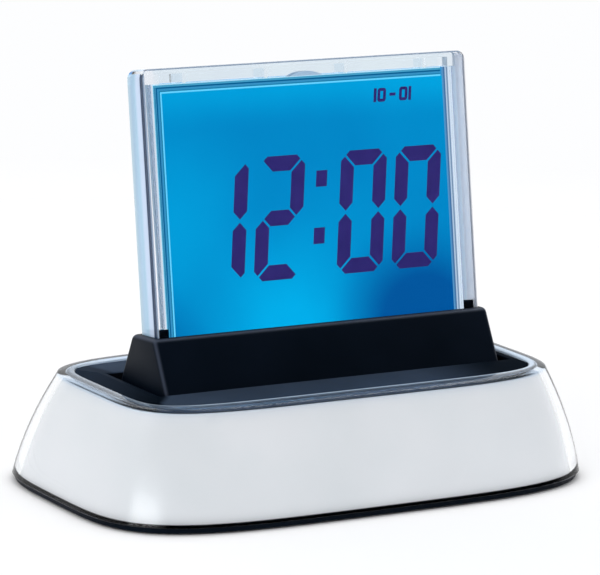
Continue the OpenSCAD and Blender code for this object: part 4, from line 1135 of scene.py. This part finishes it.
# %% [markdown]
# ## Ink on the glass
# Both prints are still flat. Drawing their faces back gives them the thickness of the solid that
# they stand for, and the panel's matrix lays them where it is, between the glasses.

# %% Ink on the glass
ink_low, ink_high = panel_box("lcd_segments")
for name, shape in (("digit_ink", ink), ("calendar_ink", date)):
    draw(shape, shape.faces[:], (0, 0, ink_low.z - ink_high.z))
    bmesh.ops.transform(shape, matrix=onto_panel @ Matrix.Scale(mm, 4)
                        @ Matrix.Translation((0, 0, ink_high.z)), verts=shape.verts)
    dress(mesh_object(name, shape), "display", "lcd_segments", "lcd_ink")

# %% [markdown]
# ## Floor
# The clock stands on the pale floor of a white studio. The floor takes its soft shadow, and it
# turns see-through further out, so that it fades into the white around it without an edge.

# %% Floor
floor_radius, floor_fade = 1.6, 0.42
floor_shape = bmesh.new()
bmesh.ops.create_circle(floor_shape, cap_ends=True, segments=96, radius=floor_radius)
floor = mesh_object("floor", floor_shape)
white_floor, tree, shader = start_finish("white_floor")
shader.inputs["Base Color"].default_value = (0.95, 0.95, 0.955, 1)
shader.inputs["Roughness"].default_value = 0.8
shader.inputs["Specular IOR Level"].default_value = 0.0
near = ball(tree, place(tree, size=(floor_fade, floor_fade, floor_fade)))
tree.links.new(spread(tree, near, 0, 1, 0, 0.6, smooth=True), shader.inputs["Alpha"])
floor.data.materials.append(white_floor)
print("floor is", 2 * floor_radius, "m across")

# %% [markdown]
# ## World
# The world is white for the camera and for what is seen through clear plastic, and a little less
# for the light it sheds. For reflections it is dark in front, because the photographer's side of a
# studio is dark: that keeps the display's blue deep and the cradle's front black. It is bright
# overhead, and a low window at the left and front gives the corner of the base its highlight.

# %% World
def choose(tree, test, yes, no):
    pick = tree.nodes.new("ShaderNodeMix")
    tree.links.new(sums(tree, test, 0.5, "GREATER_THAN"), pick.inputs["Factor"])
    for socket, value in ((pick.inputs["A"], no), (pick.inputs["B"], yes)):
        if isinstance(value, float):
            socket.default_value = value
        else:
            tree.links.new(value, socket)
    return pick.outputs["Result"]


world = bpy.data.worlds.new("studio")
bpy.context.scene.world = world
world.use_nodes = True
tree = world.node_tree
sky = tree.nodes["Background"]
sky.inputs["Color"].default_value = (0.985, 0.99, 1.0, 1)
ray = tree.nodes.new("ShaderNodeLightPath")
where = tree.nodes.new("ShaderNodeTexCoord")
x, y, z = axes(tree, where.outputs["Generated"])

overhead = spread(tree, z, 1.0, 6.0, 0.5, 0.85, smooth=True)
dark_front = spread(tree, y, 0.015, 1.0, -0.5, 0.2, smooth=True)
window = sums(tree, spread(tree, x, 7.0, 0, -0.8, -0.5, smooth=True),
              spread(tree, y, 1, 0, -0.3, 0.0, smooth=True), "MULTIPLY")
window = sums(tree, window, spread(tree, z, 1, 0, 0.18, 0.32, smooth=True), "MULTIPLY")
mirrored = sums(tree, sums(tree, overhead, dark_front, "MULTIPLY"), window)

seen_white, shed_white = 1.0, 0.86
background = choose(tree, ray.outputs["Glossy Depth"], mirrored, seen_white)
tree.links.new(choose(tree, ray.outputs["Diffuse Depth"], shed_white, background),
               sky.inputs["Strength"])
print("world has", len(tree.nodes), "nodes")

# %% [markdown]
# ## Lamps
# Two large soft lamps model the form, one from the left and one from above and behind. They are kept
# out of the picture and out of reflections, which come from the world alone.

# %% Lamps
lit_point = Vector((0, 0, 0.03))


def soft_lamp(name, place_at, wide, high, power):
    light = bpy.data.lights.new(name, "AREA")
    light.shape = "RECTANGLE"
    light.size, light.size_y = wide, high
    light.energy = power
    lamp = bpy.data.objects.new(name, light)
    lamp.location = place_at
    lamp.rotation_euler = (lit_point - Vector(place_at)).to_track_quat("-Z", "Y").to_euler()
    lamp.visible_camera = lamp.visible_glossy = lamp.visible_transmission = False
    bpy.context.scene.collection.objects.link(lamp)
    print(name, "gives", power, "watts")


soft_lamp("left_softbox", (-0.9, -0.5, 0.7), 0.7, 0.7, 2.0)
soft_lamp("top_softbox", (0.15, 0.25, 1.1), 0.9, 0.6, 2.6)
bpy.context.scene.view_settings.view_transform = "Standard"
bpy.context.scene.cycles.blur_glossy = 0.0
